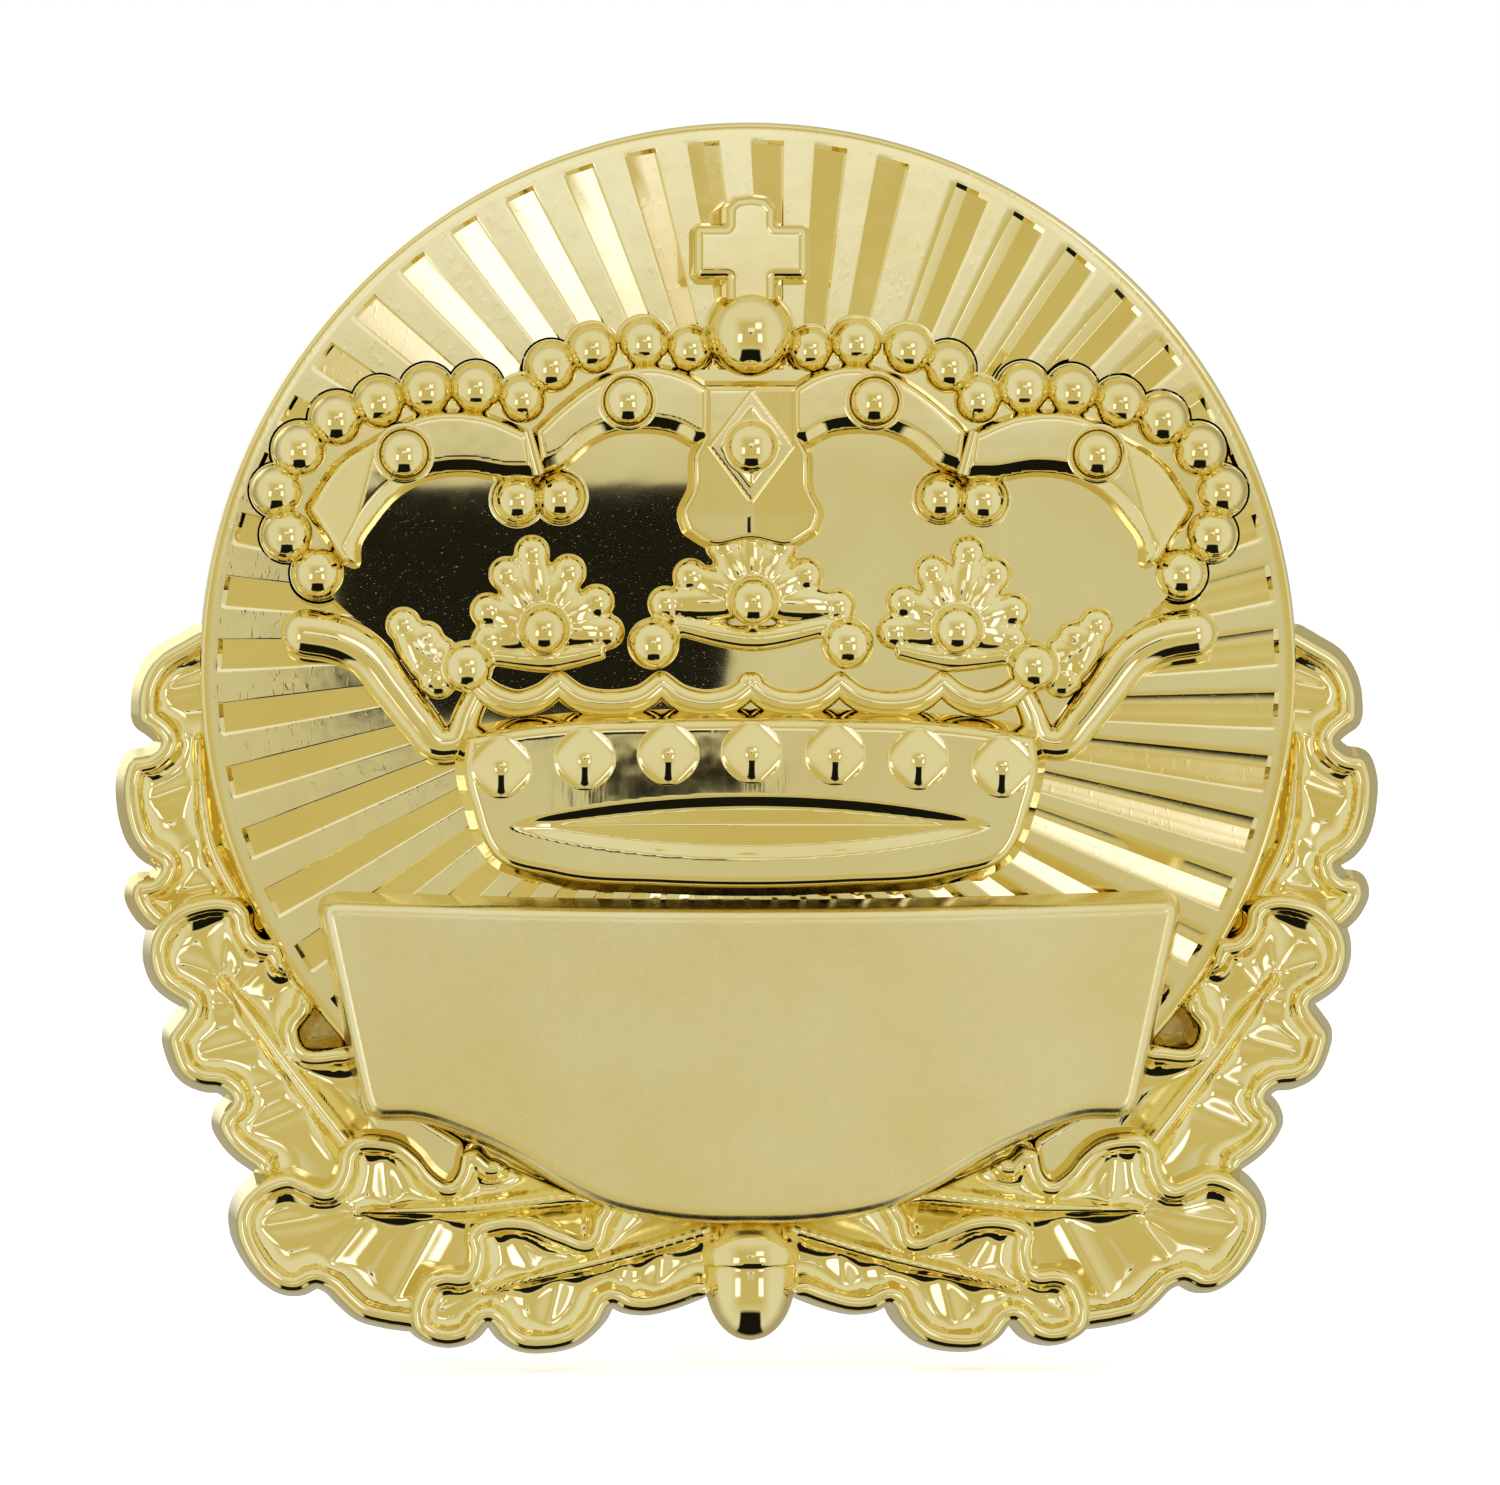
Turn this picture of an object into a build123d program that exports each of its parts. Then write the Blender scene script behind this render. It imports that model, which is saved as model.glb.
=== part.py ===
from build123d import *
import math
import os

# Cap badge: a rayed disc on a back plate, ringed by oak leaves, with a crown and a blank title
# plaque on its front, and two screw posts with washers and thumb nuts behind.
# Millimetres. X runs left to right, Z is up and the front faces -Y. The origin is the centre of
# the disc on the badge's flat back face. Depths are measured forward from that face.

# ---- heights of the layers ----
plate_thickness = 1.0
disc_thickness = 1.6
upper_leaf_height = 1.4
side_leaf_height = 2.2
lower_leaf_height = 2.8
inner_leaf_height = 3.3
plaque_height = 2.6
field_thickness = 0.8
arch_height = 1.2
circlet_height = 1.7
brim_height = 1.2
fleuron_height = 1.3
cross_height = 1.8

# ---- disc ----
disc_radius = 22.0
drawn_radius = 22.0             # of the disc that the outlines below were drawn round
disc_edge_round = 0.25
ray_count = 52
ray_depth = 0.3
ray_hub_radius = 6.0
ray_rim_width = 0.7
ray_swirl_radius = 1.3          # the rays run past the centre at this distance
ray_flip_angle = 69.8           # the bearing where the steps change sides, as they do opposite it
leaf_seat_gap = 0.05            # between the disc's edge and the leaves around it

# ---- crown ----
crown_top_edge = 13.0           # height of the pearl line beside the orb
pearl_radius = 0.92
orb_radius = 1.76
orb_height = 13.36
cross_width = 4.56
cross_bar = 2.16
cross_post = 1.96
cross_corner_round = 0.6
cross_centre = 16.72
cross_top = 18.96
jewel_radius = 1.02
jewel_rise = 0.55
lozenge_width = 3.3
lozenge_length = 4.5
lozenge_height = 9.0            # of its middle above the disc's centre
stud_count = 7
stud_pitch = 3.3
stud_size = 1.9
stud_rise = 0.6
stud_line = -3.16               # height of the middle stud
stud_sag = 0.0058               # how the line of studs droops to its ends
lens_depth = 0.5
brim_width = 1.25
rope_width = 0.85
fleuron_bead_radius = 0.9
fleuron_bead_rise = 0.5
petal_width = 1.1
petal_root = 0.9                # how far a petal runs past the bead's centre

# ---- plaque ----
plaque_edge_round = 0.45
plaque_corner_round = 0.9

# ---- acorn ----
acorn_radius = 2.05
acorn_axis_height = 3.0          # of its axis above the plate
acorn_lip = 0.15                # the cup's rim beyond the nut
acorn_nut_taper = 0.1

# ---- pins that hold the crown and the plaque ----
pin_radius = 0.6
pin_gap = 0.02
pin_bite = 0.5
pin_places = [(-6.0, 5.5), (6.0, 5.5), (-9.0, -14.0), (9.0, -14.0)]

# ---- screw posts and what runs on them ----
post_spacing = 22.0
post_height = 0.0               # of the posts' axes above the disc's centre
post_radius = 1.5
post_length = 12.0
post_shank = 2.5                # plain length behind the back face
post_relief = 0.3               # length of the groove where the thread ends
post_relief_depth = 0.35
thread_step = 0.16              # the thread is drawn at its pitch diameter, this far below the shank
thread_point = 0.4
spigot_step = 0.1               # the seat in the plate above the plain shank
post_head_lip = 1.0             # the head beyond its seat
post_head_thickness = 0.6
head_gap = 0.02
cloth_gap = 3.0                 # from the back face to the washer, as drawn
washer_radius = 3.2
washer_thickness = 0.8
washer_bore_gap = 0.15
nut_radius = 3.6
nut_length = 3.0
nut_collar_radius = 2.5
nut_collar_length = 0.8
nut_bore_gap = 0.05
nut_seat_gap = 0.05
nut_flutes = 24
nut_flute_radius = 0.28

# ---- worked out from the above ----
disc_front = plate_thickness + disc_thickness
field_front = disc_front + field_thickness
circlet_front = field_front + circlet_height
plaque_front = disc_front + plaque_height
nut_start = cloth_gap + washer_thickness + nut_seat_gap
thread_start = post_shank + post_relief
thread_radius = post_radius - thread_step
spigot_radius = post_radius + spigot_step
post_head_radius = spigot_radius + post_head_lip
acorn_axis = plate_thickness + acorn_axis_height
disc_growth = disc_radius - drawn_radius
ray_pitch = 360 / ray_count
sides = {"left": -1, "right": 1}


def at_depth(depth):
    """A front-facing sketch plane, this far in front of the back face."""
    return Plane.XZ.offset(depth)


def sided(points, side):
    """Points written for the left, as they are for side -1 and mirrored for side 1."""
    return [(-side * x, z) for x, z in points]


def round_disc(points):
    """Outline points moved out from the centre as far as the disc's edge is from where it was drawn."""
    moved = []
    for x, z in points:
        stretch = 1 + disc_growth / math.hypot(x, z)
        moved.append((x * stretch, z * stretch))
    return moved


def behind(depth):
    """A back-facing sketch plane, this far behind the back face."""
    return Plane(origin=(0, depth, 0), x_dir=(1, 0, 0), z_dir=(0, 1, 0))


def save(piece, name):
    piece.part.label = name
    export_step(piece.part, f"parts/{name}.step")


os.makedirs("parts", exist_ok=True)


# ---- back plate: follows the badge's outline, a little inside it ----
plate_inset = 0.8               # of the plate behind the disc's edge
plate_edge = round_disc([(-21.0, -1.0), (-22.6, -5.0), (-21.6, -11.5), (-19.9, -16.5),
                         (-19.2, -21.5), (-16.8, -23.7), (-10.5, -25.0), (0.0, -25.2)])

with BuildPart() as back_plate:
    with BuildSketch(at_depth(0)):
        Circle(disc_radius - plate_inset)
        with BuildLine():
            Spline(*plate_edge, tangents=[(-1, -1), (1, 0)])
            Polyline(plate_edge[-1], (0, 0), plate_edge[0])
        make_face()
        mirror(about=Plane.YZ)
    extrude(amount=plate_thickness)
    with BuildSketch(at_depth(0)):
        with Locations((-post_spacing / 2, post_height), (post_spacing / 2, post_height)):
            Circle(spigot_radius + head_gap)
        with Locations(*pin_places):
            Circle(pin_radius + pin_gap)
    extrude(amount=plate_thickness, mode=Mode.SUBTRACT)
    with BuildSketch(at_depth(plate_thickness)):
        with Locations((-post_spacing / 2, post_height), (post_spacing / 2, post_height)):
            Circle(post_head_radius + head_gap)
    extrude(amount=-post_head_thickness, mode=Mode.SUBTRACT)
save(back_plate, "back_plate")


# ---- sunburst disc: a round plate with stepped rays sunk into its front ----
# Each ray is a wedge whose steep side lies on a line that passes the centre at ray_swirl_radius.
ray_end_radius = disc_radius - ray_rim_width
ray_lead = math.degrees(math.asin(ray_swirl_radius / ray_end_radius))

with BuildPart() as sunburst_disc:
    with BuildSketch(at_depth(plate_thickness)):
        Circle(disc_radius)
    extrude(amount=disc_thickness)
    front_edge = faces().sort_by(Axis.Y)[0].edges()
    fillet(front_edge, radius=disc_edge_round)
    with BuildSketch(at_depth(disc_front)):
        for ray in range(ray_count):
            rim_bearing = 90 + ray_pitch * (ray + 0.5)
            slant = 1 if (rim_bearing - ray_flip_angle) % 360 < 180 else -1
            spread = disc_radius * math.tan(math.radians(ray_pitch / 2)) * slant
            with Locations(Location((0, 0, 0), (0, 0, 1), rim_bearing + ray_lead)):
                with Locations((0, -ray_swirl_radius)):
                    Polygon((0, 0), (disc_radius, 0), (disc_radius, spread), align=None)
        Circle(ray_end_radius, mode=Mode.INTERSECT)
        Circle(ray_hub_radius, mode=Mode.SUBTRACT)
    extrude(amount=-ray_depth, mode=Mode.SUBTRACT)
    with BuildSketch(at_depth(plate_thickness)):
        with Locations(*pin_places):
            Circle(pin_radius + pin_gap)
    extrude(amount=disc_thickness, mode=Mode.SUBTRACT)
save(sunburst_disc, "sunburst_disc")


# ---- oak leaves: each outline is a wavy edge, closed by straight lines where it is covered ----
upper_leaf_wave = [(-21.9, 1.65), (-23.9, 0.45), (-24.5, -1.35), (-24.4, -2.1), (-23.55, -2.8),
                   (-24.8, -3.45), (-25.1, -5.1), (-24.7, -6.75), (-23.55, -7.8), (-24.6, -8.5),
                   (-24.4, -9.7), (-23.8, -10.3)]
upper_leaf_root = [(-22.5, -12.0), (-17.5, -12.0), (-20.0, 1.5)]
side_leaf_wave = [(-18.6, -11.3), (-19.6, -10.7), (-20.05, -9.5), (-21.05, -9.0), (-22.9, -9.4),
                  (-23.9, -10.6), (-23.9, -11.8), (-22.5, -13.4), (-23.25, -14.5), (-22.7, -16.15),
                  (-20.75, -17.15), (-21.3, -18.1), (-20.5, -19.3), (-19.75, -19.85)]
side_leaf_root = [(-18.0, -20.8), (-15.6, -20.4), (-15.2, -18.4), (-15.6, -15.4), (-17.85, -15.0),
                  (-18.0, -14.35), (-17.4, -13.2)]
lower_leaf_wave = [(-10.4, -19.2), (-11.45, -19.1), (-12.0, -20.3), (-13.2, -19.3), (-14.9, -18.55),
                   (-16.3, -19.1), (-16.85, -20.6), (-18.35, -20.0), (-20.05, -20.75),
                   (-20.55, -22.3), (-19.5, -24.2), (-18.3, -24.8), (-17.4, -24.5), (-15.65, -25.8),
                   (-13.65, -26.2)]
lower_leaf_root = [(-12.4, -26.0), (-8.0, -22.6), (-6.4, -21.3), (-6.6, -20.2)]
inner_leaf_wave = [(-5.9, -21.2), (-6.5, -22.6), (-8.85, -21.7), (-10.95, -21.95), (-11.25, -23.1),
                   (-11.45, -23.85), (-12.95, -24.05), (-13.6, -25.6), (-12.0, -26.9), (-10.5, -26.0),
                   (-9.3, -27.1), (-7.0, -26.9), (-5.55, -25.25), (-4.3, -25.6), (-2.3, -25.0)]
inner_leaf_root = [(-0.3, -24.0), (-0.3, -21.2), (-2.0, -20.6), (-5.4, -20.4)]


def leaf(side, wave, root, height, beneath):
    """A leaf on the back plate, cut to seat on the leaves already laid and to clear the disc."""
    edge = sided(round_disc(wave), side)
    covered = sided(round_disc(root), side)
    with BuildPart() as piece:
        with BuildSketch(at_depth(plate_thickness)):
            with BuildLine():
                Spline(*edge)
                Polyline(edge[-1], *covered, edge[0])
            make_face()
            Circle(disc_radius + leaf_seat_gap, mode=Mode.SUBTRACT)
        extrude(amount=height)
        for laid in beneath:
            add(laid.part, mode=Mode.SUBTRACT)
    return piece


leaves = {}
for name, side in sides.items():
    upper = leaf(side, upper_leaf_wave, upper_leaf_root, upper_leaf_height, [])
    flank = leaf(side, side_leaf_wave, side_leaf_root, side_leaf_height, [upper])
    lower = leaf(side, lower_leaf_wave, lower_leaf_root, lower_leaf_height, [upper, flank])
    inner = leaf(side, inner_leaf_wave, inner_leaf_root, inner_leaf_height, [flank, lower])
    leaves[name] = [upper, flank, lower, inner]
    save(upper, f"upper_leaf_{name}")
    save(flank, f"side_leaf_{name}")
    save(lower, f"lower_leaf_{name}")
    save(inner, f"inner_leaf_{name}")
all_leaves = leaves["left"] + leaves["right"]


# ---- crown: a flat field, with the arches, the band, the brim and the ornaments laid on it ----
# The pearl line runs up from the brim's end, over the outer arch and over the inner one.
pearl_line = [[(-17.3, 4.0), (-18.9, 7.25), (-16.5, 10.1)],
              [(-16.5, 10.1), (-12.9, 11.3), (-9.15, 10.9)],
              [(-8.0, 12.15), (-5.3, 13.1), (-2.45, 12.9)]]
pearl_counts = [5, 5, 4]
crown_top = crown_top_edge - pearl_radius
hanging_pearls = [(-9.3, 6.9), (-7.6, 7.0)]
field_foot = [(-17.3, 4.0), (-14.6, 1.2), (-12.0, -2.2), (-10.7, -4.0), (-9.9, -6.4), (0, -8.0)]

with BuildPart() as crown_field:
    with BuildSketch(at_depth(disc_front)):
        with BuildLine():
            for arc in pearl_line:
                ThreePointArc(*arc)
            Line(pearl_line[1][2], pearl_line[2][0])
            Polyline(pearl_line[2][2], (-2.0, crown_top), (0, crown_top))
            Spline(*field_foot, tangents=[(0.4, -1), (1, 0)])
            Line((0, crown_top), field_foot[-1])
        make_face()
        mirror(about=Plane.YZ)
    extrude(amount=field_thickness)
    with BuildSketch(at_depth(disc_front)):
        with Locations(*[place for place in pin_places if place[1] > 0]):
            Circle(pin_radius + pin_gap)
    extrude(amount=pin_bite, mode=Mode.SUBTRACT)
save(crown_field, "crown_field")


def pearl_places():
    """Where the pearls sit on the left half: evenly along each arc, and the hanging pairs."""
    places = []
    for arc, count in zip(pearl_line, pearl_counts):
        path = ThreePointArc(*arc)
        shared = arc is pearl_line[1]
        for step in range(1 if shared else 0, count):
            spot = path @ (step / (count - 1))
            places.append((spot.X, spot.Y))
    return places + hanging_pearls


with BuildPart() as arch_pearls:
    for side in sides.values():
        for x, z in sided(pearl_places(), side):
            with Locations((x, -field_front, z)):
                Sphere(pearl_radius)
    split(bisect_by=at_depth(field_front), keep=Keep.TOP)
save(arch_pearls, "arch_pearls")

outer_arch = [(-17.5, 6.5), (-16.3, 8.3), (-14.9, 9.2), (-13.0, 10.1), (-10.7, 10.15), (-8.85, 9.5)]
outer_arch_inside = [(-8.65, 8.1), (-11.4, 8.1), (-14.2, 7.1), (-15.6, 5.0), (-15.8, 4.3),
                     (-16.4, 4.6)]
inner_arch = [(-8.85, 9.5), (-7.3, 10.9), (-5.8, 11.7), (-4.0, 12.05), (-2.4, 11.65), (-1.8, 11.3)]
inner_arch_inside = [(-1.8, 9.1), (-4.4, 9.75), (-6.6, 9.1), (-8.2, 8.2), (-8.65, 8.1)]
strap_edge = [(-1.8, 9.1), (-2.3, 7.9), (-2.75, 6.3), (-1.6, 5.15)]

with BuildPart() as crown_arches:
    with BuildSketch(at_depth(field_front)):
        with BuildLine():
            Spline(*outer_arch)
            Spline(*inner_arch)
            Line(inner_arch[-1], (0, inner_arch[-1][1]))
            Line((0, inner_arch[-1][1]), (0, strap_edge[-1][1]))
            Line((0, strap_edge[-1][1]), strap_edge[-1])
            Spline(*strap_edge)
            Spline(*inner_arch_inside)
            Polyline(*outer_arch_inside, outer_arch[0])
        make_face()
        mirror(about=Plane.YZ)
    extrude(amount=arch_height)
    add(arch_pearls.part, mode=Mode.SUBTRACT)
save(crown_arches, "crown_arches")
arch_front = field_front + arch_height

jewel_places = [(-13.8, 8.7), (-4.9, 10.8)]
jewel_taper = 30
lozenge_taper = 35
stud_taper = 45
with BuildPart() as arch_jewels:
    for side in sides.values():
        for x, z in sided(jewel_places, side):
            with BuildSketch(at_depth(arch_front)):
                with Locations((x, z)):
                    Circle(jewel_radius)
            extrude(amount=jewel_rise, taper=jewel_taper)
save(arch_jewels, "arch_jewels")

with BuildPart() as strap_lozenge:
    with BuildSketch(at_depth(arch_front)):
        with Locations((0, lozenge_height)):
            Polygon((0, lozenge_length / 2), (lozenge_width / 2, 0), (0, -lozenge_length / 2),
                    (-lozenge_width / 2, 0), align=None)
    extrude(amount=jewel_rise, taper=lozenge_taper)
save(strap_lozenge, "strap_lozenge")

with BuildPart() as orb_and_cross:
    with Locations((0, -disc_front - orb_radius / 2, orb_height)):
        Sphere(orb_radius)
    split(bisect_by=at_depth(disc_front), keep=Keep.TOP)
    with BuildSketch(at_depth(disc_front)):
        with Locations((0, (cross_top + orb_height) / 2)):
            Rectangle(cross_post, cross_top - orb_height)
        with Locations((0, cross_centre)):
            RectangleRounded(cross_width, cross_bar, cross_corner_round)
    extrude(amount=cross_height)
    for neighbour in (crown_field, arch_pearls, crown_arches):
        add(neighbour.part, mode=Mode.SUBTRACT)
save(orb_and_cross, "orb_and_cross")

lens_tip = 9.5
with BuildPart() as crown_circlet:
    with BuildSketch(at_depth(field_front)):
        with BuildLine():
            ThreePointArc((-11.0, -2.5), (0, -1.8), (11.0, -2.5))
            ThreePointArc((11.0, -2.5), (11.35, -4.9), (10.3, -7.2))
            ThreePointArc((10.3, -7.2), (0, -8.5), (-10.3, -7.2))
            ThreePointArc((-10.3, -7.2), (-11.35, -4.9), (-11.0, -2.5))
        make_face()
    extrude(amount=circlet_height)
    with BuildSketch(at_depth(circlet_front)):
        with BuildLine():
            ThreePointArc((-lens_tip, -6.05), (0, -5.0), (lens_tip, -6.05))
            ThreePointArc((lens_tip, -6.05), (0, -7.4), (-lens_tip, -6.05))
        make_face()
    extrude(amount=-lens_depth, mode=Mode.SUBTRACT)
save(crown_circlet, "crown_circlet")

with BuildPart() as circlet_studs:
    for stud in range(stud_count):
        x = (stud - (stud_count - 1) / 2) * stud_pitch
        with BuildSketch(at_depth(circlet_front)):
            with Locations(Location((x, stud_line - stud_sag * x * x, 0), (0, 0, 1), 45)):
                Rectangle(stud_size, stud_size)
        extrude(amount=stud_rise, taper=stud_taper)
save(circlet_studs, "circlet_studs")

brim_flare = [(-17.9, 1.7), (-16.2, 1.6), (-14.8, 0.5), (-13.3, -1.7), (-12.1, -3.1)]
rope_cusps = [-10.9, -7.65, -3.65, 0.0]
rope_top = -0.35
rope_drop = 0.95
with BuildPart() as crown_brim:
    with BuildSketch(at_depth(field_front)):
        for side in sides.values():
            with BuildLine() as flare:
                Spline(*sided(brim_flare, side))
            trace(flare.line, line_width=brim_width)
            with BuildLine() as rope:
                for left, right in zip(rope_cusps, rope_cusps[1:]):
                    low = ((left + right) / 2, rope_top - rope_drop)
                    ThreePointArc(*sided([(left, rope_top), low, (right, rope_top)], side))
            trace(rope.line, line_width=rope_width)
            with BuildLine() as link:
                Polyline(*sided([brim_flare[-1], (-11.55, -1.9), (rope_cusps[0], rope_top)], side))
            trace(link.line, line_width=rope_width)
            with Locations(*sided([brim_flare[0]], side)):
                Circle(brim_width / 2)
    extrude(amount=brim_height)
    extrude(to_extrude=faces().sort_by(Axis.Y)[-1], amount=field_thickness)
    for neighbour in (crown_field, crown_circlet, arch_pearls):
        add(neighbour.part, mode=Mode.SUBTRACT)
save(crown_brim, "crown_brim")

# each fleuron: the place of its bead, the length of its petals and the bearings of the petals
fleurons = [((0.0, 2.95), 2.6, [90, 55, 125, 20, 160]),
            ((-8.25, 1.75), 2.5, [95, 60, 130, 25, 165]),
            ((8.25, 1.75), 2.5, [85, 50, 120, 15, 155]),
            ((-12.9, 0.55), 1.2, [60, 110]),
            ((12.9, 0.55), 1.2, [70, 120])]
between_pearls = [(-3.9, 1.0), (3.9, 1.0), (-11.1, 0.95), (11.1, 0.95)]
with BuildPart() as brim_fleurons:
    with BuildSketch(at_depth(field_front)):
        for (x, z), length, bearings in fleurons:
            for bearing in bearings:
                with Locations(Location((x, z, 0), (0, 0, 1), bearing)):
                    with Locations((length / 2, 0)):
                        SlotOverall(length + petal_root, petal_width)
        with Locations(*between_pearls):
            Circle(fleuron_bead_radius)
    extrude(amount=fleuron_height)
    for (x, z), length, bearings in fleurons[:3]:
        with BuildSketch(at_depth(field_front + fleuron_height)):
            with Locations((x, z)):
                Circle(fleuron_bead_radius)
        extrude(amount=fleuron_bead_rise, taper=jewel_taper)
    for neighbour in (crown_brim, crown_field, crown_arches, arch_pearls):
        add(neighbour.part, mode=Mode.SUBTRACT)
save(brim_fleurons, "brim_fleurons")


# ---- title plaque: blank, with a rounded edge, seated on the disc and over the leaves ----
plaque_top = [(-17.3, -9.1), (0, -9.4), (17.3, -9.1)]
plaque_foot = round_disc([(-15.5, -17.6), (-11.4, -18.4), (-8.2, -20.0), (-3.9, -21.45),
                          (0, -21.85), (3.9, -21.45), (8.2, -20.0), (11.4, -18.4), (15.5, -17.6)])

with BuildPart() as title_plaque:
    with BuildSketch(at_depth(disc_front)):
        with BuildLine():
            ThreePointArc(*plaque_top)
            Line(plaque_top[0], plaque_foot[0])
            Spline(*plaque_foot)
            Line(plaque_foot[-1], plaque_top[-1])
        make_face()
        fillet(vertices(), radius=plaque_corner_round)
    extrude(amount=plaque_height)
    chamfer(faces().sort_by(Axis.Y)[0].edges(), length=plaque_edge_round)
    for laid in all_leaves:
        add(laid.part, mode=Mode.SUBTRACT)
    with BuildSketch(at_depth(disc_front)):
        with Locations(*[place for place in pin_places if place[1] < 0]):
            Circle(pin_radius + pin_gap)
    extrude(amount=pin_bite, mode=Mode.SUBTRACT)
save(title_plaque, "title_plaque")


# ---- acorn: a turned shape, half sunk, over the feet of the inner leaves ----
nut_top_radius = acorn_radius - acorn_lip
acorn_profile = [(0, -21.95), (1.2, -22.1), (acorn_radius, -23.2), (acorn_radius, -23.6),
                 (nut_top_radius, -23.7), (nut_top_radius - acorn_nut_taper, -25.2), (1.0, -26.5),
                 (0, -26.85)]
acorn_profile = [(x, z - disc_growth) for x, z in acorn_profile]

with BuildPart() as acorn:
    with BuildSketch(at_depth(acorn_axis)) as acorn_half:
        Polygon(*acorn_profile, align=None)
    revolve(axis=Axis((0, -acorn_axis, 0), (0, 0, 1)))
    with BuildSketch(at_depth(plate_thickness)):
        add(acorn_half.sketch_local)
        mirror(about=Plane.YZ)
    extrude(amount=acorn_axis_height)
    for neighbour in all_leaves + [title_plaque, sunburst_disc]:
        add(neighbour.part, mode=Mode.SUBTRACT)
save(acorn, "acorn")


# ---- layer pins: pressed through the plate and the disc into the crown and the plaque ----
with BuildPart() as layer_pins:
    with BuildSketch(at_depth(0)):
        with Locations(*pin_places):
            Circle(pin_radius)
    extrude(amount=disc_front + pin_bite)
save(layer_pins, "layer_pins")


# ---- screw posts, with a washer and a knurled thumb nut on each ----
for name, side in sides.items():
    centre = (side * post_spacing / 2, -post_height)

    with BuildPart() as screw_post:
        with BuildSketch(at_depth(plate_thickness)):
            with Locations((side * post_spacing / 2, post_height)):
                Circle(post_head_radius)
        extrude(amount=-post_head_thickness)
        with BuildSketch(behind(post_head_thickness - plate_thickness)):
            with Locations(centre):
                Circle(spigot_radius)
        extrude(amount=plate_thickness - post_head_thickness)
        with BuildSketch(behind(0)):
            with Locations(centre):
                Circle(post_radius)
        extrude(amount=post_shank)
        with BuildSketch(behind(post_shank)):
            with Locations(centre):
                Circle(post_radius - post_relief_depth)
        extrude(amount=post_relief)
        with BuildSketch(behind(thread_start)):
            with Locations(centre):
                Circle(thread_radius)
        extrude(amount=post_length - thread_start)
        chamfer(faces().sort_by(Axis.Y)[-1].edges(), length=thread_point)
    save(screw_post, f"screw_post_{name}")

    with BuildPart() as washer:
        with BuildSketch(behind(cloth_gap)):
            with Locations(centre):
                Circle(washer_radius)
                Circle(post_radius + washer_bore_gap, mode=Mode.SUBTRACT)
        extrude(amount=washer_thickness)
    save(washer, f"washer_{name}")

    with BuildPart() as thumb_nut:
        with BuildSketch(behind(nut_start)):
            with Locations(centre):
                Circle(nut_collar_radius)
        extrude(amount=nut_collar_length)
        with BuildSketch(behind(nut_start + nut_collar_length)):
            with Locations(centre):
                Circle(nut_radius)
                with PolarLocations(nut_radius, nut_flutes):
                    Circle(nut_flute_radius, mode=Mode.SUBTRACT)
        extrude(amount=nut_length - nut_collar_length)
        with BuildSketch(behind(nut_start)):
            with Locations(centre):
                Circle(thread_radius + nut_bore_gap)
        extrude(amount=nut_length, mode=Mode.SUBTRACT)
    save(thumb_nut, f"thumb_nut_{name}")
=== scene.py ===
import math

import bmesh
import bpy
import numpy as np
from mathutils import Matrix, Vector


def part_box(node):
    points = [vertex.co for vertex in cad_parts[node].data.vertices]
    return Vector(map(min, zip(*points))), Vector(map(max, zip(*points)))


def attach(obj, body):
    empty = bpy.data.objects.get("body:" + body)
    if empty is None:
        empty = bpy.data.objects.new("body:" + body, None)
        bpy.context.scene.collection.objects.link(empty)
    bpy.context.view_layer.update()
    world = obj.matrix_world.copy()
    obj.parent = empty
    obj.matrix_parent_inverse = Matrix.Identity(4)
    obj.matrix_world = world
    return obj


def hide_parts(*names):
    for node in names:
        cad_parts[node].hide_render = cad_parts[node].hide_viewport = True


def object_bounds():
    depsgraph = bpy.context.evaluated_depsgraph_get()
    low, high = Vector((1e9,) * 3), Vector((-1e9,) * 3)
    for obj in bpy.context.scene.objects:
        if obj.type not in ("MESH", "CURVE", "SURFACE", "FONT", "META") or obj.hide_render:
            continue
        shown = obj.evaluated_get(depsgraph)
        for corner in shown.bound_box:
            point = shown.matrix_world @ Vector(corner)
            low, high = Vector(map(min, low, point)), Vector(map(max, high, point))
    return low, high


# Cap badge. Each piece is drawn flat, in millimetres: x to the right, y up the badge and z towards
# the viewer, from the badge's back face. standUp then sets it on the badge, in metres.

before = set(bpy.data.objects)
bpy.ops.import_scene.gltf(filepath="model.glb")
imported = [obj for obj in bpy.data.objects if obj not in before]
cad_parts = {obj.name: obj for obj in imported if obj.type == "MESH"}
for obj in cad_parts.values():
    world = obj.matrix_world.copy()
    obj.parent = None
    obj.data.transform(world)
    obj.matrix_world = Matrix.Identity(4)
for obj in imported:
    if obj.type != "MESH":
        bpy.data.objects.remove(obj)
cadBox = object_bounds()
bpy.context.scene.view_settings.view_transform = "Standard"   # white paper stays white

mm = 0.001
standUp = Matrix.Scale(mm, 4) @ Matrix.Rotation(math.radians(90), 4, "X")


def frontOf(node):
    return -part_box(node)[0][1] / mm


plateFront = frontOf("back_plate")
discFront = frontOf("sunburst_disc")
fieldFront = frontOf("crown_field")
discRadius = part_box("sunburst_disc")[1][0] / mm


def toLinear(code):
    # An sRGB hex colour as the linear numbers that a socket takes.
    shares = [int(code[k:k + 2], 16) / 255 for k in (1, 3, 5)]
    linear = [s / 12.92 if s <= 0.04045 else ((s + 0.055) / 1.055) ** 2.4 for s in shares]
    return (*linear, 1)


def addNode(tree, kind, settings=None, links=None):
    node = tree.nodes.new(kind)
    for key, value in (settings or {}).items():
        if isinstance(key, str) and hasattr(node, key):
            setattr(node, key, value)
        else:
            node.inputs[key].default_value = value
    for key, source in (links or {}).items():
        tree.links.new(source, node.inputs[key])
    return node


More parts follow.
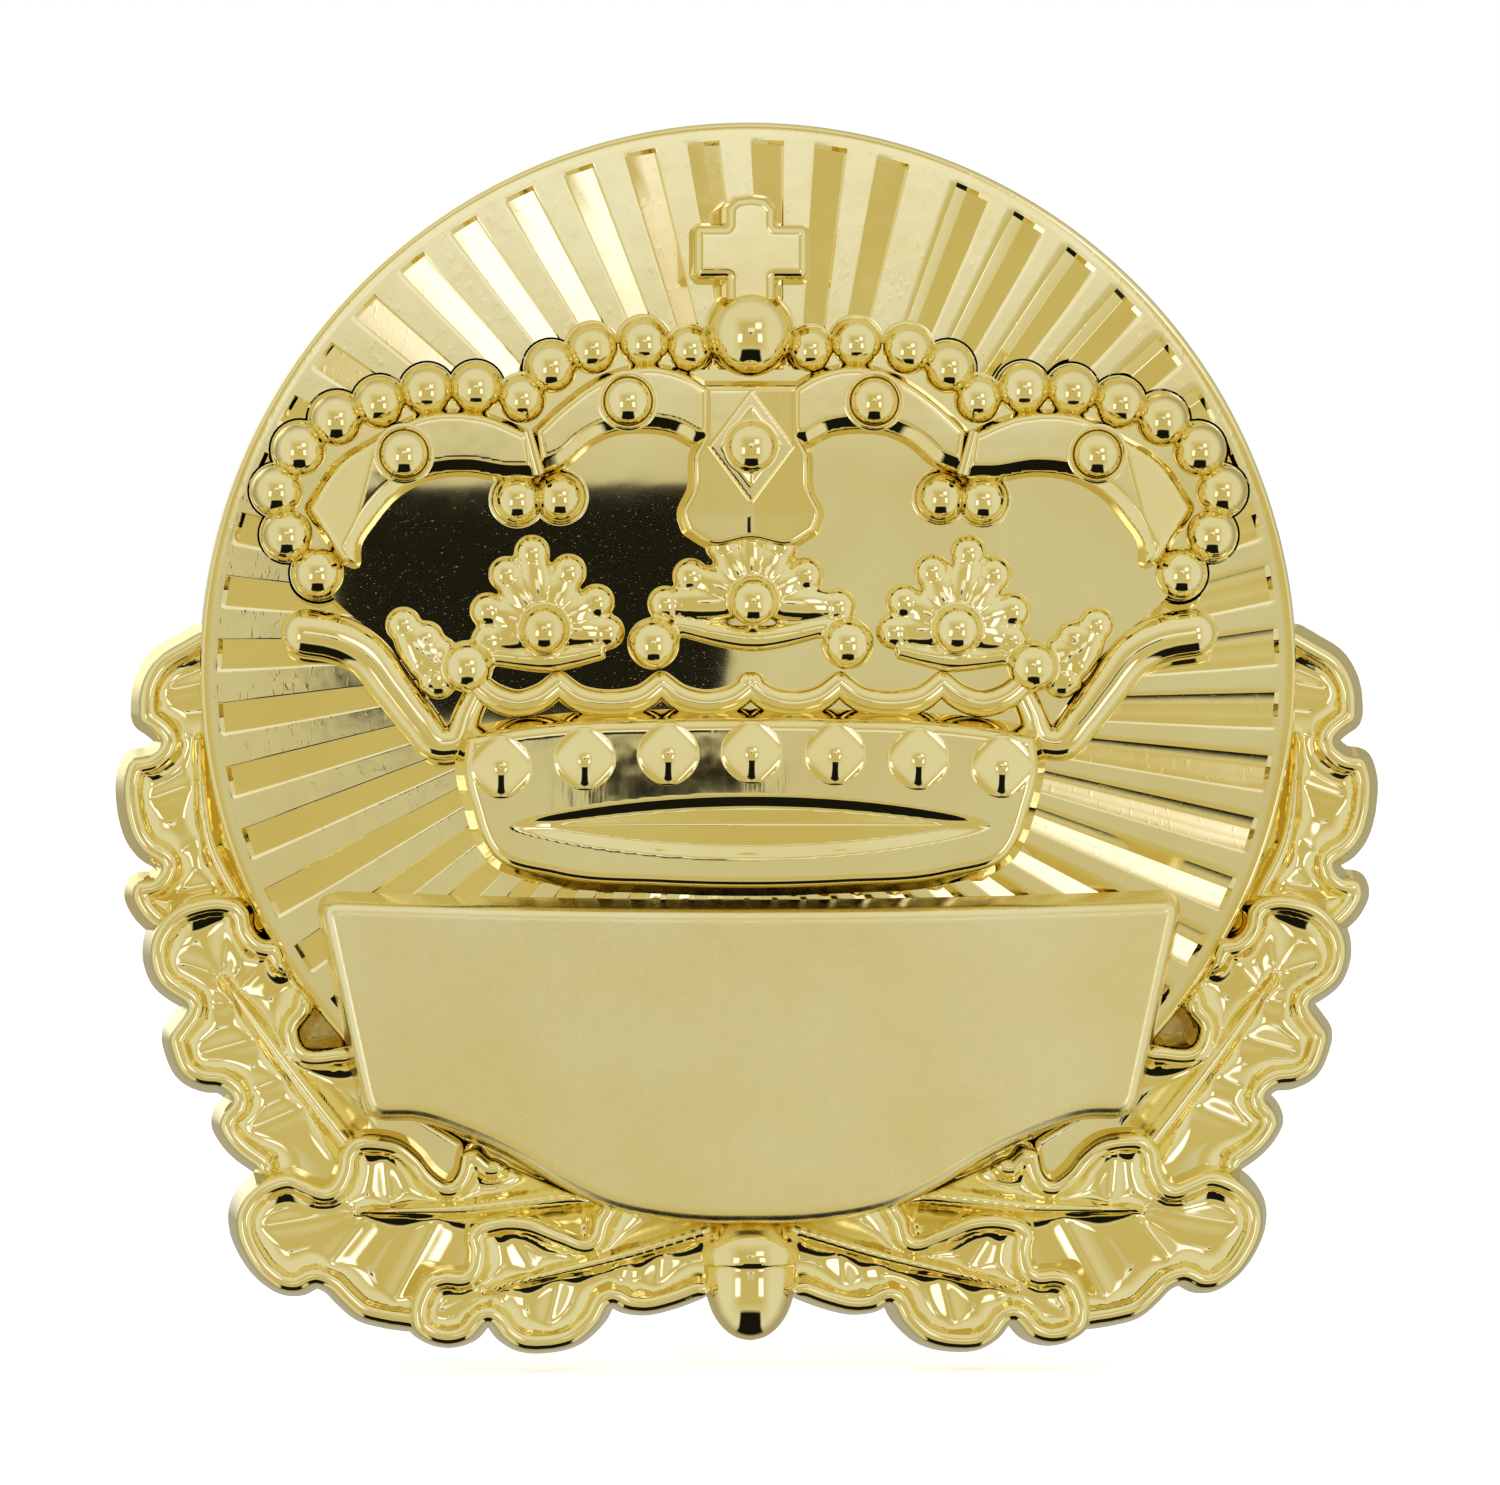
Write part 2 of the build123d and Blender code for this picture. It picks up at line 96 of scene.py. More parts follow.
def newMaterial(name, base, roughness):
    material = bpy.data.materials.new(name)
    material.use_nodes = True
    tree = material.node_tree
    shader = tree.nodes["Principled BSDF"]
    shader.inputs["Base Color"].default_value = toLinear(base)
    shader.inputs["Metallic"].default_value = 1
    shader.inputs["Roughness"].default_value = roughness
    place = addNode(tree, "ShaderNodeTexCoord").outputs["Object"]
    return material, tree, shader, place


perMetre = 1000             # Object coordinates are in metres, the patterns' sizes in millimetres
patchEdges = (0.35, 0.65)   # the noise's levels at which the plate is thin and full
hazeEdges = (0.35, 0.75)    # and at which it is polished and worn


def metalFinish(name, finish):
    # The colour shifts a little where the plate is thin, the wheel leaves a slow waviness, and
    # handling leaves scratches. Real ones, 0.01 mm wide, are too fine to show and are drawn wider.
    material, tree, shader, place = newMaterial(name, finish["colour"], finish["roughness"])
    patches = addNode(tree, "ShaderNodeTexNoise",
                      {"Scale": perMetre / finish["patchSize"], "Detail": 3}, {"Vector": place})
    tint = addNode(tree, "ShaderNodeValToRGB", links={"Fac": patches.outputs["Fac"]})
    for stop, edge, colour in zip(tint.color_ramp.elements, patchEdges, ("thinColour", "colour")):
        stop.position = edge
        stop.color = toLinear(finish[colour])
    tree.links.new(tint.outputs["Color"], shader.inputs["Base Color"])
    haze = addNode(tree, "ShaderNodeTexNoise",
                   {"Scale": perMetre / finish["hazeSize"], "Detail": 6}, {"Vector": place})
    rough = addNode(tree, "ShaderNodeMapRange",
                    {"From Min": hazeEdges[0], "From Max": hazeEdges[1],
                     "To Min": finish["roughness"], "To Max": finish["worn"]},
                     {"Value": haze.outputs["Fac"]})
    tree.links.new(rough.outputs["Result"], shader.inputs["Roughness"])
    wave = addNode(tree, "ShaderNodeTexNoise",
                   {"Scale": perMetre / finish["waveSize"], "Detail": 2}, {"Vector": place})
    slow = addNode(tree, "ShaderNodeBump",
                   {"Strength": 1, "Distance": finish["waveDepth"] * mm},
                   {"Height": wave.outputs["Fac"]})
    stretch = addNode(tree, "ShaderNodeMapping",
                      {"Rotation": (0, finish["scratchTurn"], 0),
                       "Scale": (1, 1, finish["scratchLong"])},
                      {"Vector": place})
    lines = addNode(tree, "ShaderNodeTexNoise",
                    {"Scale": perMetre / finish["scratchSize"], "Detail": 3},
                    {"Vector": stretch.outputs["Vector"]})
    marks = addNode(tree, "ShaderNodeMapRange",
                    {"From Min": finish["sparse"], "From Max": 1, "To Min": 0, "To Max": 1},
                    {"Value": lines.outputs["Fac"]})
    fine = addNode(tree, "ShaderNodeBump",
                   {"Strength": 1, "Distance": finish["scratchDepth"] * mm},
                   {"Height": marks.outputs["Result"], "Normal": slow.outputs["Normal"]})
    tree.links.new(fine.outputs["Normal"], shader.inputs["Normal"])
    return material


# Sizes and depths are in millimetres, turns in radians. A scratchLong under 1 draws the marks out
# lengthways, and sparse leaves only the strongest of them.
# Thin pale gold over polished cast brass: clear reflections, slightly wavy from the wheel.
polishedFinish = {"colour": "#F2E5A6", "thinColour": "#EEDD98", "patchSize": 6, "roughness": 0.03,
                  "worn": 0.06, "hazeSize": 0.9, "waveSize": 2.2, "waveDepth": 0.006, "sparse": 0,
                  "scratchSize": 0.5, "scratchLong": 0.15, "scratchTurn": 0.6,
                  "scratchDepth": 0.0015}
# Gold over struck rays, which the wheel reaches less: a little duller, with short scratches.
rayFinish = dict(polishedFinish, roughness=0.05, worn=0.12, waveSize=1.1, waveDepth=0.0018,
                 scratchSize=0.25, scratchLong=0.4, scratchDepth=0.003, sparse=0.58)
# Gold over a finely blasted face: an even, soft sheen with nothing to read in it.
satinFinish = dict(polishedFinish, colour="#F6EDBA", thinColour="#F2E4A4", patchSize=9,
                   roughness=0.24, worn=0.32,
                   hazeSize=0.5, waveSize=7, waveDepth=0.04, scratchSize=0.12,
                   scratchLong=0.3, scratchTurn=1.57, scratchDepth=0.0008)
# Gold over flat brass buffed to a mirror: sharp reflections, broken by a few specks.
mirrorFinish = dict(polishedFinish, roughness=0.02, worn=0.03, waveSize=5, waveDepth=0.003,
                    scratchSize=0.12, scratchLong=5.0, scratchTurn=0, scratchDepth=0.008,
                    sparse=0.73)
# Thin gold over brass left as it came from the sand: matt, grainy and darker.
backFinish = dict(polishedFinish, colour="#DCC887", thinColour="#CDB36C", roughness=0.34, worn=0.5,
                  hazeSize=0.3, waveSize=0.35, waveDepth=0.03, scratchSize=0.1, scratchLong=1,
                  scratchDepth=0.01)
# Bare brass off the lathe: warmer, with a fine dull grain.
brassFinish = dict(polishedFinish, colour="#E3CB84", thinColour="#D8BC70", roughness=0.2, worn=0.32,
                   waveSize=3, scratchSize=0.08, scratchLong=0.1, scratchTurn=1.57,
                   scratchDepth=0.004)
# Stamped steel, zinc plated: a cloudy grey-white shine.
zincFinish = dict(polishedFinish, colour="#D3D3CF", thinColour="#C3C5C4", patchSize=1.5,
                  roughness=0.28,
                  worn=0.42, waveSize=2, scratchSize=0.1, scratchLong=0.3, scratchDepth=0.005)

polishedGilt = metalFinish("polishedLemonGilt", polishedFinish)
rayGilt = metalFinish("polishedGiltOverRays", rayFinish)
satinGilt = metalFinish("satinGilt", satinFinish)
mirrorGilt = metalFinish("buffedMirrorGilt", mirrorFinish)
backGilt = metalFinish("sandCastGilt", backFinish)
turnedBrass = metalFinish("turnedBrass", brassFinish)
stampedZinc = metalFinish("stampedZincPlate", zincFinish)
print("materials ready")


def pick(*pieces):
    # Selects only these pieces, the first of them active.
    bpy.ops.object.select_all(action="DESELECT")
    for piece in pieces:
        piece.select_set(True)
    bpy.context.view_layer.objects.active = pieces[0]


def joined(pieces, name):
    pick(*pieces)
    if len(pieces) > 1:
        bpy.ops.object.join()
    pieces[0].name = name
    return pieces[0]


def applyAll(piece):
    # Applies every modifier, and puts the piece's place into its mesh.
    pick(piece)
    for modifier in list(piece.modifiers):
        bpy.ops.object.modifier_apply(modifier=modifier.name)
    bpy.ops.object.transform_apply(location=True, rotation=True, scale=True)


def cleaned(piece, gap=0.0005):
    # Merges doubled points and turns every face outwards.
    pick(piece)
    bpy.ops.object.mode_set(mode="EDIT")
    bpy.ops.mesh.select_all(action="SELECT")
    bpy.ops.mesh.remove_doubles(threshold=gap)
    bpy.ops.mesh.normals_make_consistent(inside=False)
    bpy.ops.object.mode_set(mode="OBJECT")
    return piece


def mirrorCopy(piece, name):
    # The same piece on the other side of the badge.
    other = piece.copy()
    other.data = piece.data.copy()
    other.name = name
    bpy.context.collection.objects.link(other)
    other.data.transform(Matrix.Scale(-1, 4, (1, 0, 0)))
    other.data.flip_normals()
    return other


def setOnBadge(piece, material, nodes, body="badge", crease=30):
    # Stands a finished piece up on the badge, gives it its finish, joins it to the body and hides
    # the CAD parts it replaces.
    applyAll(piece)
    piece.data.transform(standUp)
    piece.data.update()
    pick(piece)
    bpy.ops.object.shade_smooth_by_angle(angle=math.radians(crease))
    piece.data.materials.clear()
    piece.data.materials.append(material)
    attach(piece, body)
    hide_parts(*nodes)
    return piece


def smoothLine(points, corners=(), closed=False, spacing=0.15):
    # A flowing line through the points, with a sharp turn at each listed corner.
    spots = [Vector(point) for point in points]
    count = len(spots)
    line = []
    for k in range(count if closed else count - 1):
        start, end = spots[k], spots[(k + 1) % count]
        run = end - start
        span = max(run.length, 1e-6)
        leave, arrive = run.copy(), run.copy()
        if (closed or k > 0) and k not in corners:
            earlier = start - spots[k - 1]
            gap = max(earlier.length, 1e-6)
            leave = (earlier * (span / gap) + run * (gap / span)) * (span / (span + gap))
        if (closed or k + 2 < count) and (k + 1) % count not in corners:
            later = spots[(k + 2) % count] - end
            gap = max(later.length, 1e-6)
            arrive = (later * (span / gap) + run * (gap / span)) * (span / (span + gap))
        steps = max(1, round(span / spacing))
        for step in range(steps):
            t = step / steps
            line.append(start * (2 * t ** 3 - 3 * t ** 2 + 1) + leave * (t ** 3 - 2 * t ** 2 + t)
                        + end * (3 * t ** 2 - 2 * t ** 3) + arrive * (t ** 3 - t ** 2))
    if not closed:
        line.append(spots[-1])
    return [tuple(spot) for spot in line]


def mirrored(line):
    return [(-x, y) for x, y in reversed(line)]


def slab(name, outline, low, high, rounding=0, roundSteps=4, holes=()):
    # A flat piece cut to an outline, from one height to another, with its edges rounded over.
    curve = bpy.data.curves.new(name, "CURVE")
    curve.dimensions = "2D"
    curve.fill_mode = "BOTH"
    for line in (outline, *holes):
        spline = curve.splines.new("POLY")
        spline.points.add(len(line) - 1)
        for point, place in zip(spline.points, line):
            point.co = (place[0], place[1], 0, 1)
        spline.use_cyclic_u = True
    curve.extrude = (high - low) / 2 - rounding
    curve.bevel_depth = rounding
    curve.bevel_resolution = roundSteps
    curve.offset = -rounding
    piece = bpy.data.objects.new(name, curve)
    bpy.context.collection.objects.link(piece)
    piece.location.z = (low + high) / 2
    pick(piece)
    bpy.ops.object.convert(target="MESH")
    piece = bpy.context.object
    bpy.ops.object.transform_apply(location=True)
    return cleaned(piece)


def nearest(points, line, closed=False):
    # How far each point is from a line, and how far along the line its nearest spot is, 0 to 1.
    line = np.array(line, dtype=float)
    ends = np.roll(line, -1, axis=0) if closed else line[1:]
    starts = line if closed else line[:-1]
    runs = ends - starts
    lengths = np.hypot(runs[:, 0], runs[:, 1])
    passed = np.concatenate([[0], np.cumsum(lengths)])
    best = np.full(len(points), 1e9)
    along = np.zeros(len(points))
    for k in range(len(starts)):
        if lengths[k] < 1e-9:
            continue
        share = np.clip((points - starts[k]) @ runs[k] / lengths[k] ** 2, 0, 1)
        away = points - starts[k] - share[:, None] * runs[k]
        distance = np.hypot(away[:, 0], away[:, 1])
        closer = distance < best
        best[closer] = distance[closer]
        along[closer] = passed[k] + share[closer] * lengths[k]
    return best, along / passed[-1]


def edgeDrop(distance, radius):
    # How far a rounded edge falls below the face, at each distance in from it.
    inside = np.clip(radius - distance, 0, radius)
    return radius - np.sqrt(np.maximum(radius ** 2 - inside ** 2, 0))


def relief(name, outline, low, high, grain, heightAt, draft=0, soften=0, softAt=None, softMore=0):
    # A cast piece: a slab of even grain whose face is raised or sunk to heightAt.
    piece = slab(name, outline, low, high)
    remesh = piece.modifiers.new("remesh", "REMESH")
    remesh.mode = "VOXEL"
    remesh.voxel_size = grain
    applyAll(piece)
    mesh = piece.data
    count = len(mesh.vertices)
    places = np.empty(count * 3)
    mesh.vertices.foreach_get("co", places)
    places = places.reshape(-1, 3)
    facing = np.empty(count * 3)
    mesh.vertices.foreach_get("normal", facing)
    facing = facing.reshape(-1, 3)
    part = np.clip((places[:, 2] - low) / (high - low), 0, 1)
    flat = places[:, :2].copy()
    tops = heightAt(flat)
    places[:, :2] += facing[:, :2] * (draft * (1 - part))[:, None]
    places[:, 2] = low + part * (tops - low)
    mesh.vertices.foreach_set("co", places.reshape(-1))
    mesh.update()
    if soften:
        smooth = piece.modifiers.new("soften", "SMOOTH")
        smooth.factor = 0.5
        smooth.iterations = soften
    if softAt:
        floorPart = piece.vertex_groups.new(name="floor")
        floorPart.add([int(k) for k in np.nonzero(softAt(flat) & (part > 0.5))[0]], 1, "REPLACE")
        smooth = piece.modifiers.new("softenFloor", "SMOOTH")
        smooth.factor = 0.5
        smooth.iterations = softMore
        smooth.vertex_group = "floor"
    applyAll(piece)
    return piece


def tube(name, path, radii, around=6):
    # A round bar along a path of (x, y, z), as thick as the radii say from end to end.
    curve = bpy.data.curves.new(name, "CURVE")
    curve.dimensions = "3D"
    curve.bevel_depth = 1
    curve.bevel_resolution = around
    curve.use_fill_caps = True
    spline = curve.splines.new("POLY")
    spline.points.add(len(path) - 1)
    knots = np.linspace(0, 1, len(radii))
    for k, place in enumerate(path):
        spline.points[k].co = (*place, 1)
        spline.points[k].radius = float(np.interp(k / (len(path) - 1), knots, radii))
    piece = bpy.data.objects.new(name, curve)
    bpy.context.collection.objects.link(piece)
    pick(piece)
    bpy.ops.object.convert(target="MESH")
    return cleaned(bpy.context.object)


def ball(place, size, turn=0, segments=32, rings=20):
    # A ball or an egg at a place, with its half sizes, turned in the plane of the badge.
    bpy.ops.object.select_all(action="DESELECT")
    bpy.ops.mesh.primitive_uv_sphere_add(segments=segments, ring_count=rings, radius=1,
                                         location=place, rotation=(0, 0, math.radians(turn)))
    piece = bpy.context.object
    piece.scale = size
    bpy.ops.object.transform_apply(location=True, rotation=True, scale=True)
    return piece


def turned(name, profile, place=(0, 0, 0), steps=32):
    # A shape turned on a lathe from a profile of (radius, height).
    bpy.ops.object.select_all(action="DESELECT")
    mesh = bpy.data.meshes.new(name)
    mesh.from_pydata([(r, 0, h) for r, h in profile],
                     [(k, k + 1) for k in range(len(profile) - 1)], [])
    piece = bpy.data.objects.new(name, mesh)
    bpy.context.collection.objects.link(piece)
    pick(piece)
    bpy.ops.object.mode_set(mode="EDIT")
    bpy.ops.mesh.select_all(action="SELECT")
    bpy.ops.mesh.spin(steps=steps, angle=math.tau, center=(0, 0, 0), axis=(0, 0, 1))
    bpy.ops.object.mode_set(mode="OBJECT")
    cleaned(piece)
    piece.location = place
    applyAll(piece)
    return piece


def copied(piece, place):
    # A copy with its own mesh, moved to a place.
    other = piece.copy()
    other.data = piece.data.copy()
    bpy.context.collection.objects.link(other)
    other.data.transform(Matrix.Translation(place))
    return other


# The camera, in millimetres.
view = {"lookAt": (0, -3, -2.82), "place": (-10, -303, 4.5), "lens": 180}
lookAt = Vector(view["lookAt"]) * mm
cameraPlace = Vector(view["place"]) * mm
cameraData = bpy.data.cameras.new("camera")
cameraData.lens = view["lens"]
camera = bpy.data.objects.new("camera", cameraData)
bpy.context.collection.objects.link(camera)
camera.location = cameraPlace
camera.rotation_euler = (lookAt - cameraPlace).to_track_quat("-Z", "Y").to_euler()
bpy.context.scene.camera = camera

# The paper tent that the badge reflects, each layer over those before it. A direction is an arrow
# of length 1: sides is how far it points to the right, heights how far up and depths how far away.
# Colours are sRGB, or linear where they are brighter than white.
tent = {"wide": "#E9EBEE", "depths": (-2, 0.4), "depthSoft": 0.1, "layers": {
    "nearPaper": {"colour": "#D2C798", "sides": (-0.56, 0.56), "heights": (-0.70, 0.52),
                  "soft": 0.16},
    "front": {"colour": "#D7D6CE", "sides": (-0.14, 0.16), "heights": (-0.12, 0.06), "soft": 0.04},
    "paleAbove": {"colour": (0.98, 1.02, 1.28, 1), "sides": (-0.14, 0.16), "heights": (0.03, 0.20),
                  "soft": 0.02},
    "rear": {"colour": "#B3AE9F", "depths": (0.12, 2), "depthSoft": 0.25},
    "backLamp": {"colour": (1.3, 1.3, 1.3, 1), "sides": (-0.75, 0.1), "heights": (0.05, 0.7),
                 "soft": 0.12, "depths": (0.3, 2)},
    "leftLamp": {"colour": (1.7, 1.8, 2.6, 1), "sides": (-0.56, -0.40), "heights": (-0.42, -0.08),
                 "soft": 0.03},
    "rightLamp": {"colour": (1.7, 1.8, 2.6, 1), "sides": (0.32, 0.48), "heights": (-0.42, -0.08),
                  "soft": 0.03},
    "upperLamp": {"colour": (1.6, 1.65, 2.5, 1), "sides": (0.20, 0.44), "heights": (0.16, 0.40),
                  "soft": 0.05},
    "darkBelow": {"colour": (0.010, 0.010, 0.009, 1), "sides": (-0.38, 0.38),
                  "heights": (-2, -0.70), "soft": 0.03, "depths": (-2, 0.35)}}}
world = bpy.data.worlds.new("studio")
bpy.context.scene.world = world
world.use_nodes = True
sky = world.node_tree
for node in list(sky.nodes):
    sky.nodes.remove(node)
aim = addNode(sky, "ShaderNodeSeparateXYZ",
              links={"Vector": addNode(sky, "ShaderNodeTexCoord").outputs["Generated"]})


def between(part, low, high, soft):
    # 1 where a part of the direction is inside a range and 0 outside it, with soft edges.
    rising, falling = [
        addNode(sky, "ShaderNodeMapRange", {"From Min": edge - soft, "From Max": edge + soft},
                {"Value": part}).outputs["Result"] for edge in (low, high)]
    return addNode(sky, "ShaderNodeMath", {"operation": "SUBTRACT"},
                   {0: rising, 1: falling}).outputs["Value"]


paper = addNode(sky, "ShaderNodeRGB").outputs["Color"]
paper.default_value = toLinear(tent["wide"])
for layer in tent["layers"].values():
    depthSoft = layer.get("depthSoft", tent["depthSoft"])
    share = between(aim.outputs["Y"], *layer.get("depths", tent["depths"]), depthSoft)
    for part, limits in (("X", layer.get("sides")), ("Z", layer.get("heights"))):
        if limits:
            inside = between(aim.outputs[part], *limits, layer["soft"])
            share = addNode(sky, "ShaderNodeMath", {"operation": "MULTIPLY"},
                            {0: share, 1: inside}).outputs["Value"]
    colour = layer["colour"] if isinstance(layer["colour"], tuple) else toLinear(layer["colour"])
    paper = addNode(sky, "ShaderNodeMix", {"data_type": "RGBA", 7: colour},
                    {"Factor": share, 6: paper}).outputs[2]
seen = addNode(sky, "ShaderNodeLightPath").outputs["Is Camera Ray"]    # white behind the badge
paper = addNode(sky, "ShaderNodeMix", {"data_type": "RGBA", 7: (1, 1, 1, 1)},
                {"Factor": seen, 6: paper}).outputs[2]
backgroundNode = addNode(sky, "ShaderNodeBackground", links={"Color": paper})
addNode(sky, "ShaderNodeOutputWorld", links={"Surface": backgroundNode.outputs["Background"]})

# Uncoated white paper: matt, and lit through a little, so that it stays pale.
floorMaterial, _, floorShader, _ = newMaterial("palePaper", "#F6F6F4", 0.8)
floorShader.inputs["Metallic"].default_value = 0
floorShader.inputs["Emission Color"].default_value = (1, 1, 1, 1)
floorShader.inputs["Emission Strength"].default_value = 0.6
bpy.ops.object.select_all(action="DESELECT")
bpy.ops.mesh.primitive_plane_add(size=6, location=(0, 0, cadBox[0][2] - 0.0006))
floor = bpy.context.object
floor.name = "floor"
floor.data.materials.append(floorMaterial)
floor.visible_glossy = False

# Matt black card, standing for the dark front of a camera, which the flat mirror faces reflect.
# Each card's left, right, bottom and top are in millimetres.
cards = {"cameraCard": (-23.5, 8.3, -8.5, 10.5), "lensCard": (-3, 10.5, -15.5, -10.8)}
cardMaterial, _, cardShader, _ = newMaterial("blackCard", "#060606", 0.9)
cardShader.inputs["Metallic"].default_value = 0
cardsAt = -0.3035       # metres, level with the camera
for cardName, (left, right, bottom, top) in cards.items():
    bpy.ops.object.select_all(action="DESELECT")
    bpy.ops.mesh.primitive_plane_add(
        size=1, location=((left + right) / 2 * mm, cardsAt, (bottom + top) / 2 * mm),
        rotation=(math.radians(90), 0, 0))
    card = bpy.context.object
    card.name = cardName
    card.scale = ((right - left) * mm, (top - bottom) * mm, 1)
    card.data.materials.append(cardMaterial)
    card.visible_camera = False
    card.visible_diffuse = False
    card.visible_shadow = False
print("studio ready")


# The sunburst disc. Bearings are in degrees. Each ray is a step down from its neighbour. The step
# is on its left for the half turn from flip onwards, and on its right for the rest.
rays = {"count": 52, "firstWall": 93.46, "swirl": 1.3, "flip": 69.8, "depth": 0.235, "end": 21.3,
        "radii": [6.0, 6.3, 7.4, 8.8, 10.5, 13, 16, 19, 21.12, 21.3], "flat": 21.45,
        "edgeRound": 0.25, "edgeSteps": 5, "wall": 0.5, "foot": 0.08}
pitch = 360 / rays["count"]


def rayBearing(rimBearing, radius):
    # Where a ray's line, which passes the centre at the swirl distance, crosses a radius.
    lead = math.asin(rays["swirl"] / discRadius) - math.asin(rays["swirl"] / radius)
    return rimBearing + math.degrees(lead)


def raySector(profile):
    # One ray as a strip of faces: the profile is (degrees from the wall, share of the depth).
    radii = rays["radii"]
    bpy.ops.object.select_all(action="DESELECT")
    bpy.ops.mesh.primitive_grid_add(x_subdivisions=len(profile) - 1, y_subdivisions=len(radii) - 1,
                                    size=1)
    sector = bpy.context.object
    corners = sector.data.vertices
    order = sorted(range(len(corners)),
                   key=lambda k: (round(corners[k].co.y, 4), round(corners[k].co.x, 4)))
    for place, index in enumerate(order):
        row, column = divmod(place, len(profile))
        angle, share = profile[column]
        radius = radii[row]
        sunk = 0 if row in (0, len(radii) - 1) else share * rays["depth"] * radius / discRadius
        bearing = math.radians(rayBearing(rays["firstWall"] + angle, radius))
        corners[index].co = (radius * math.cos(bearing), radius * math.sin(bearing),
                             discFront - sunk)
    return sector


leftProfile = [(-0.45 * pitch, 0), (-1.6, 0), (-0.14, 0), (-0.06, 0.06), (0.02, 0.95), (0.10, 1.0),
               (1.6, 0.55), (3.1, 0.10), (3.4, 0.02), (3.6, 0), (0.55 * pitch, 0)]
rightProfile = [(-0.45 * pitch, 0), (-2.8, 0), (-2.5, 0.03), (-1.3, 0.5), (-0.10, 0.98), (0.0, 1.0),
                (0.12, 0.95), (1.35, 0.06), (1.55, 0), (2.4, 0), (0.55 * pitch, 0)]
sectors = []
for profile, isLeft in ((leftProfile, True), (rightProfile, False)):
    sector = raySector(profile)
    for k in range(rays["count"]):
        wall = (rays["firstWall"] - pitch * k) % 360
        if (0 <= (wall - rays["flip"]) % 360 < 180) == isLeft:
            turnedRay = copied(sector, (0, 0, 0))
            turnedRay.data.transform(Matrix.Rotation(math.radians(-pitch * k), 4, "Z"))
            sectors.append(turnedRay)
    bpy.data.objects.remove(sector)
disc = cleaned(joined(sectors, "sunburst"), 0.002)
pick(disc)
bpy.ops.object.mode_set(mode="EDIT")


def selectOpenEdges(beyond):
    # The disc's open edges that lie further out than a radius.
    bpy.ops.mesh.select_all(action="DESELECT")
    shell = bmesh.from_edit_mesh(disc.data)
    for edge in shell.edges:
        if edge.is_boundary and edge.verts[0].co.xy.length > beyond:
            edge.select = True
    bmesh.update_edit_mesh(disc.data)


def extrudeRing(newRadius, newHeight, oldRadius, oldHeight):
    # Draws the selected ring out to a new radius and height.
    share = newRadius / oldRadius
    bpy.ops.mesh.extrude_edges_move(TRANSFORM_OT_translate={"value": (0, 0, newHeight - oldHeight)})
    bpy.ops.transform.resize(value=(share, share, 1), center_override=(0, 0, newHeight))


selectOpenEdges(rays["end"] - 1)
ringRadius, ringHeight = rays["end"], discFront
edgeRound = rays["edgeRound"]
ringSteps = [(rays["flat"], discFront), (discRadius - edgeRound, discFront)]
for step in range(1, rays["edgeSteps"] + 1):
    turn = math.radians(90 * step / rays["edgeSteps"])
    ringSteps.append((discRadius - edgeRound + edgeRound * math.sin(turn),
                      discFront - edgeRound + edgeRound * math.cos(turn)))
ringSteps += [(discRadius, plateFront + rays["wall"]), (discRadius + rays["foot"], plateFront)]
for newRadius, newHeight in ringSteps:
    extrudeRing(newRadius, newHeight, ringRadius, ringHeight)
    ringRadius, ringHeight = newRadius, newHeight
bpy.ops.mesh.fill()             # the back
selectOpenEdges(0)
bpy.ops.mesh.fill()             # the middle, under the crown
bpy.ops.object.mode_set(mode="OBJECT")
cleaned(disc, 0.002)
setOnBadge(disc, rayGilt, ["sunburst_disc"], crease=12)
print("sunburst disc ready")


# The oak leaves: a round bead along the edge, a groove inside it, and a floor that falls in facets
# from the ribs. Sizes are in millimetres, and a slope is its fall for each millimetre.
leafShape = {"beadHalf": 0.37, "beadRise": 0.36, "grooveEnd": 0.80, "grooveSink": 0.06,
             "edgeSlope": 0.72, "veinSlope": 0.42, "veinTop": 0.03, "deepest": 0.40,
             "ribRise": 0.42, "ribWave": 0.02, "ribPitch": 0.42, "draft": 0.40, "grain": 0.085,
             "soft": 5, "floorSoft": 22, "lift": 0.03}


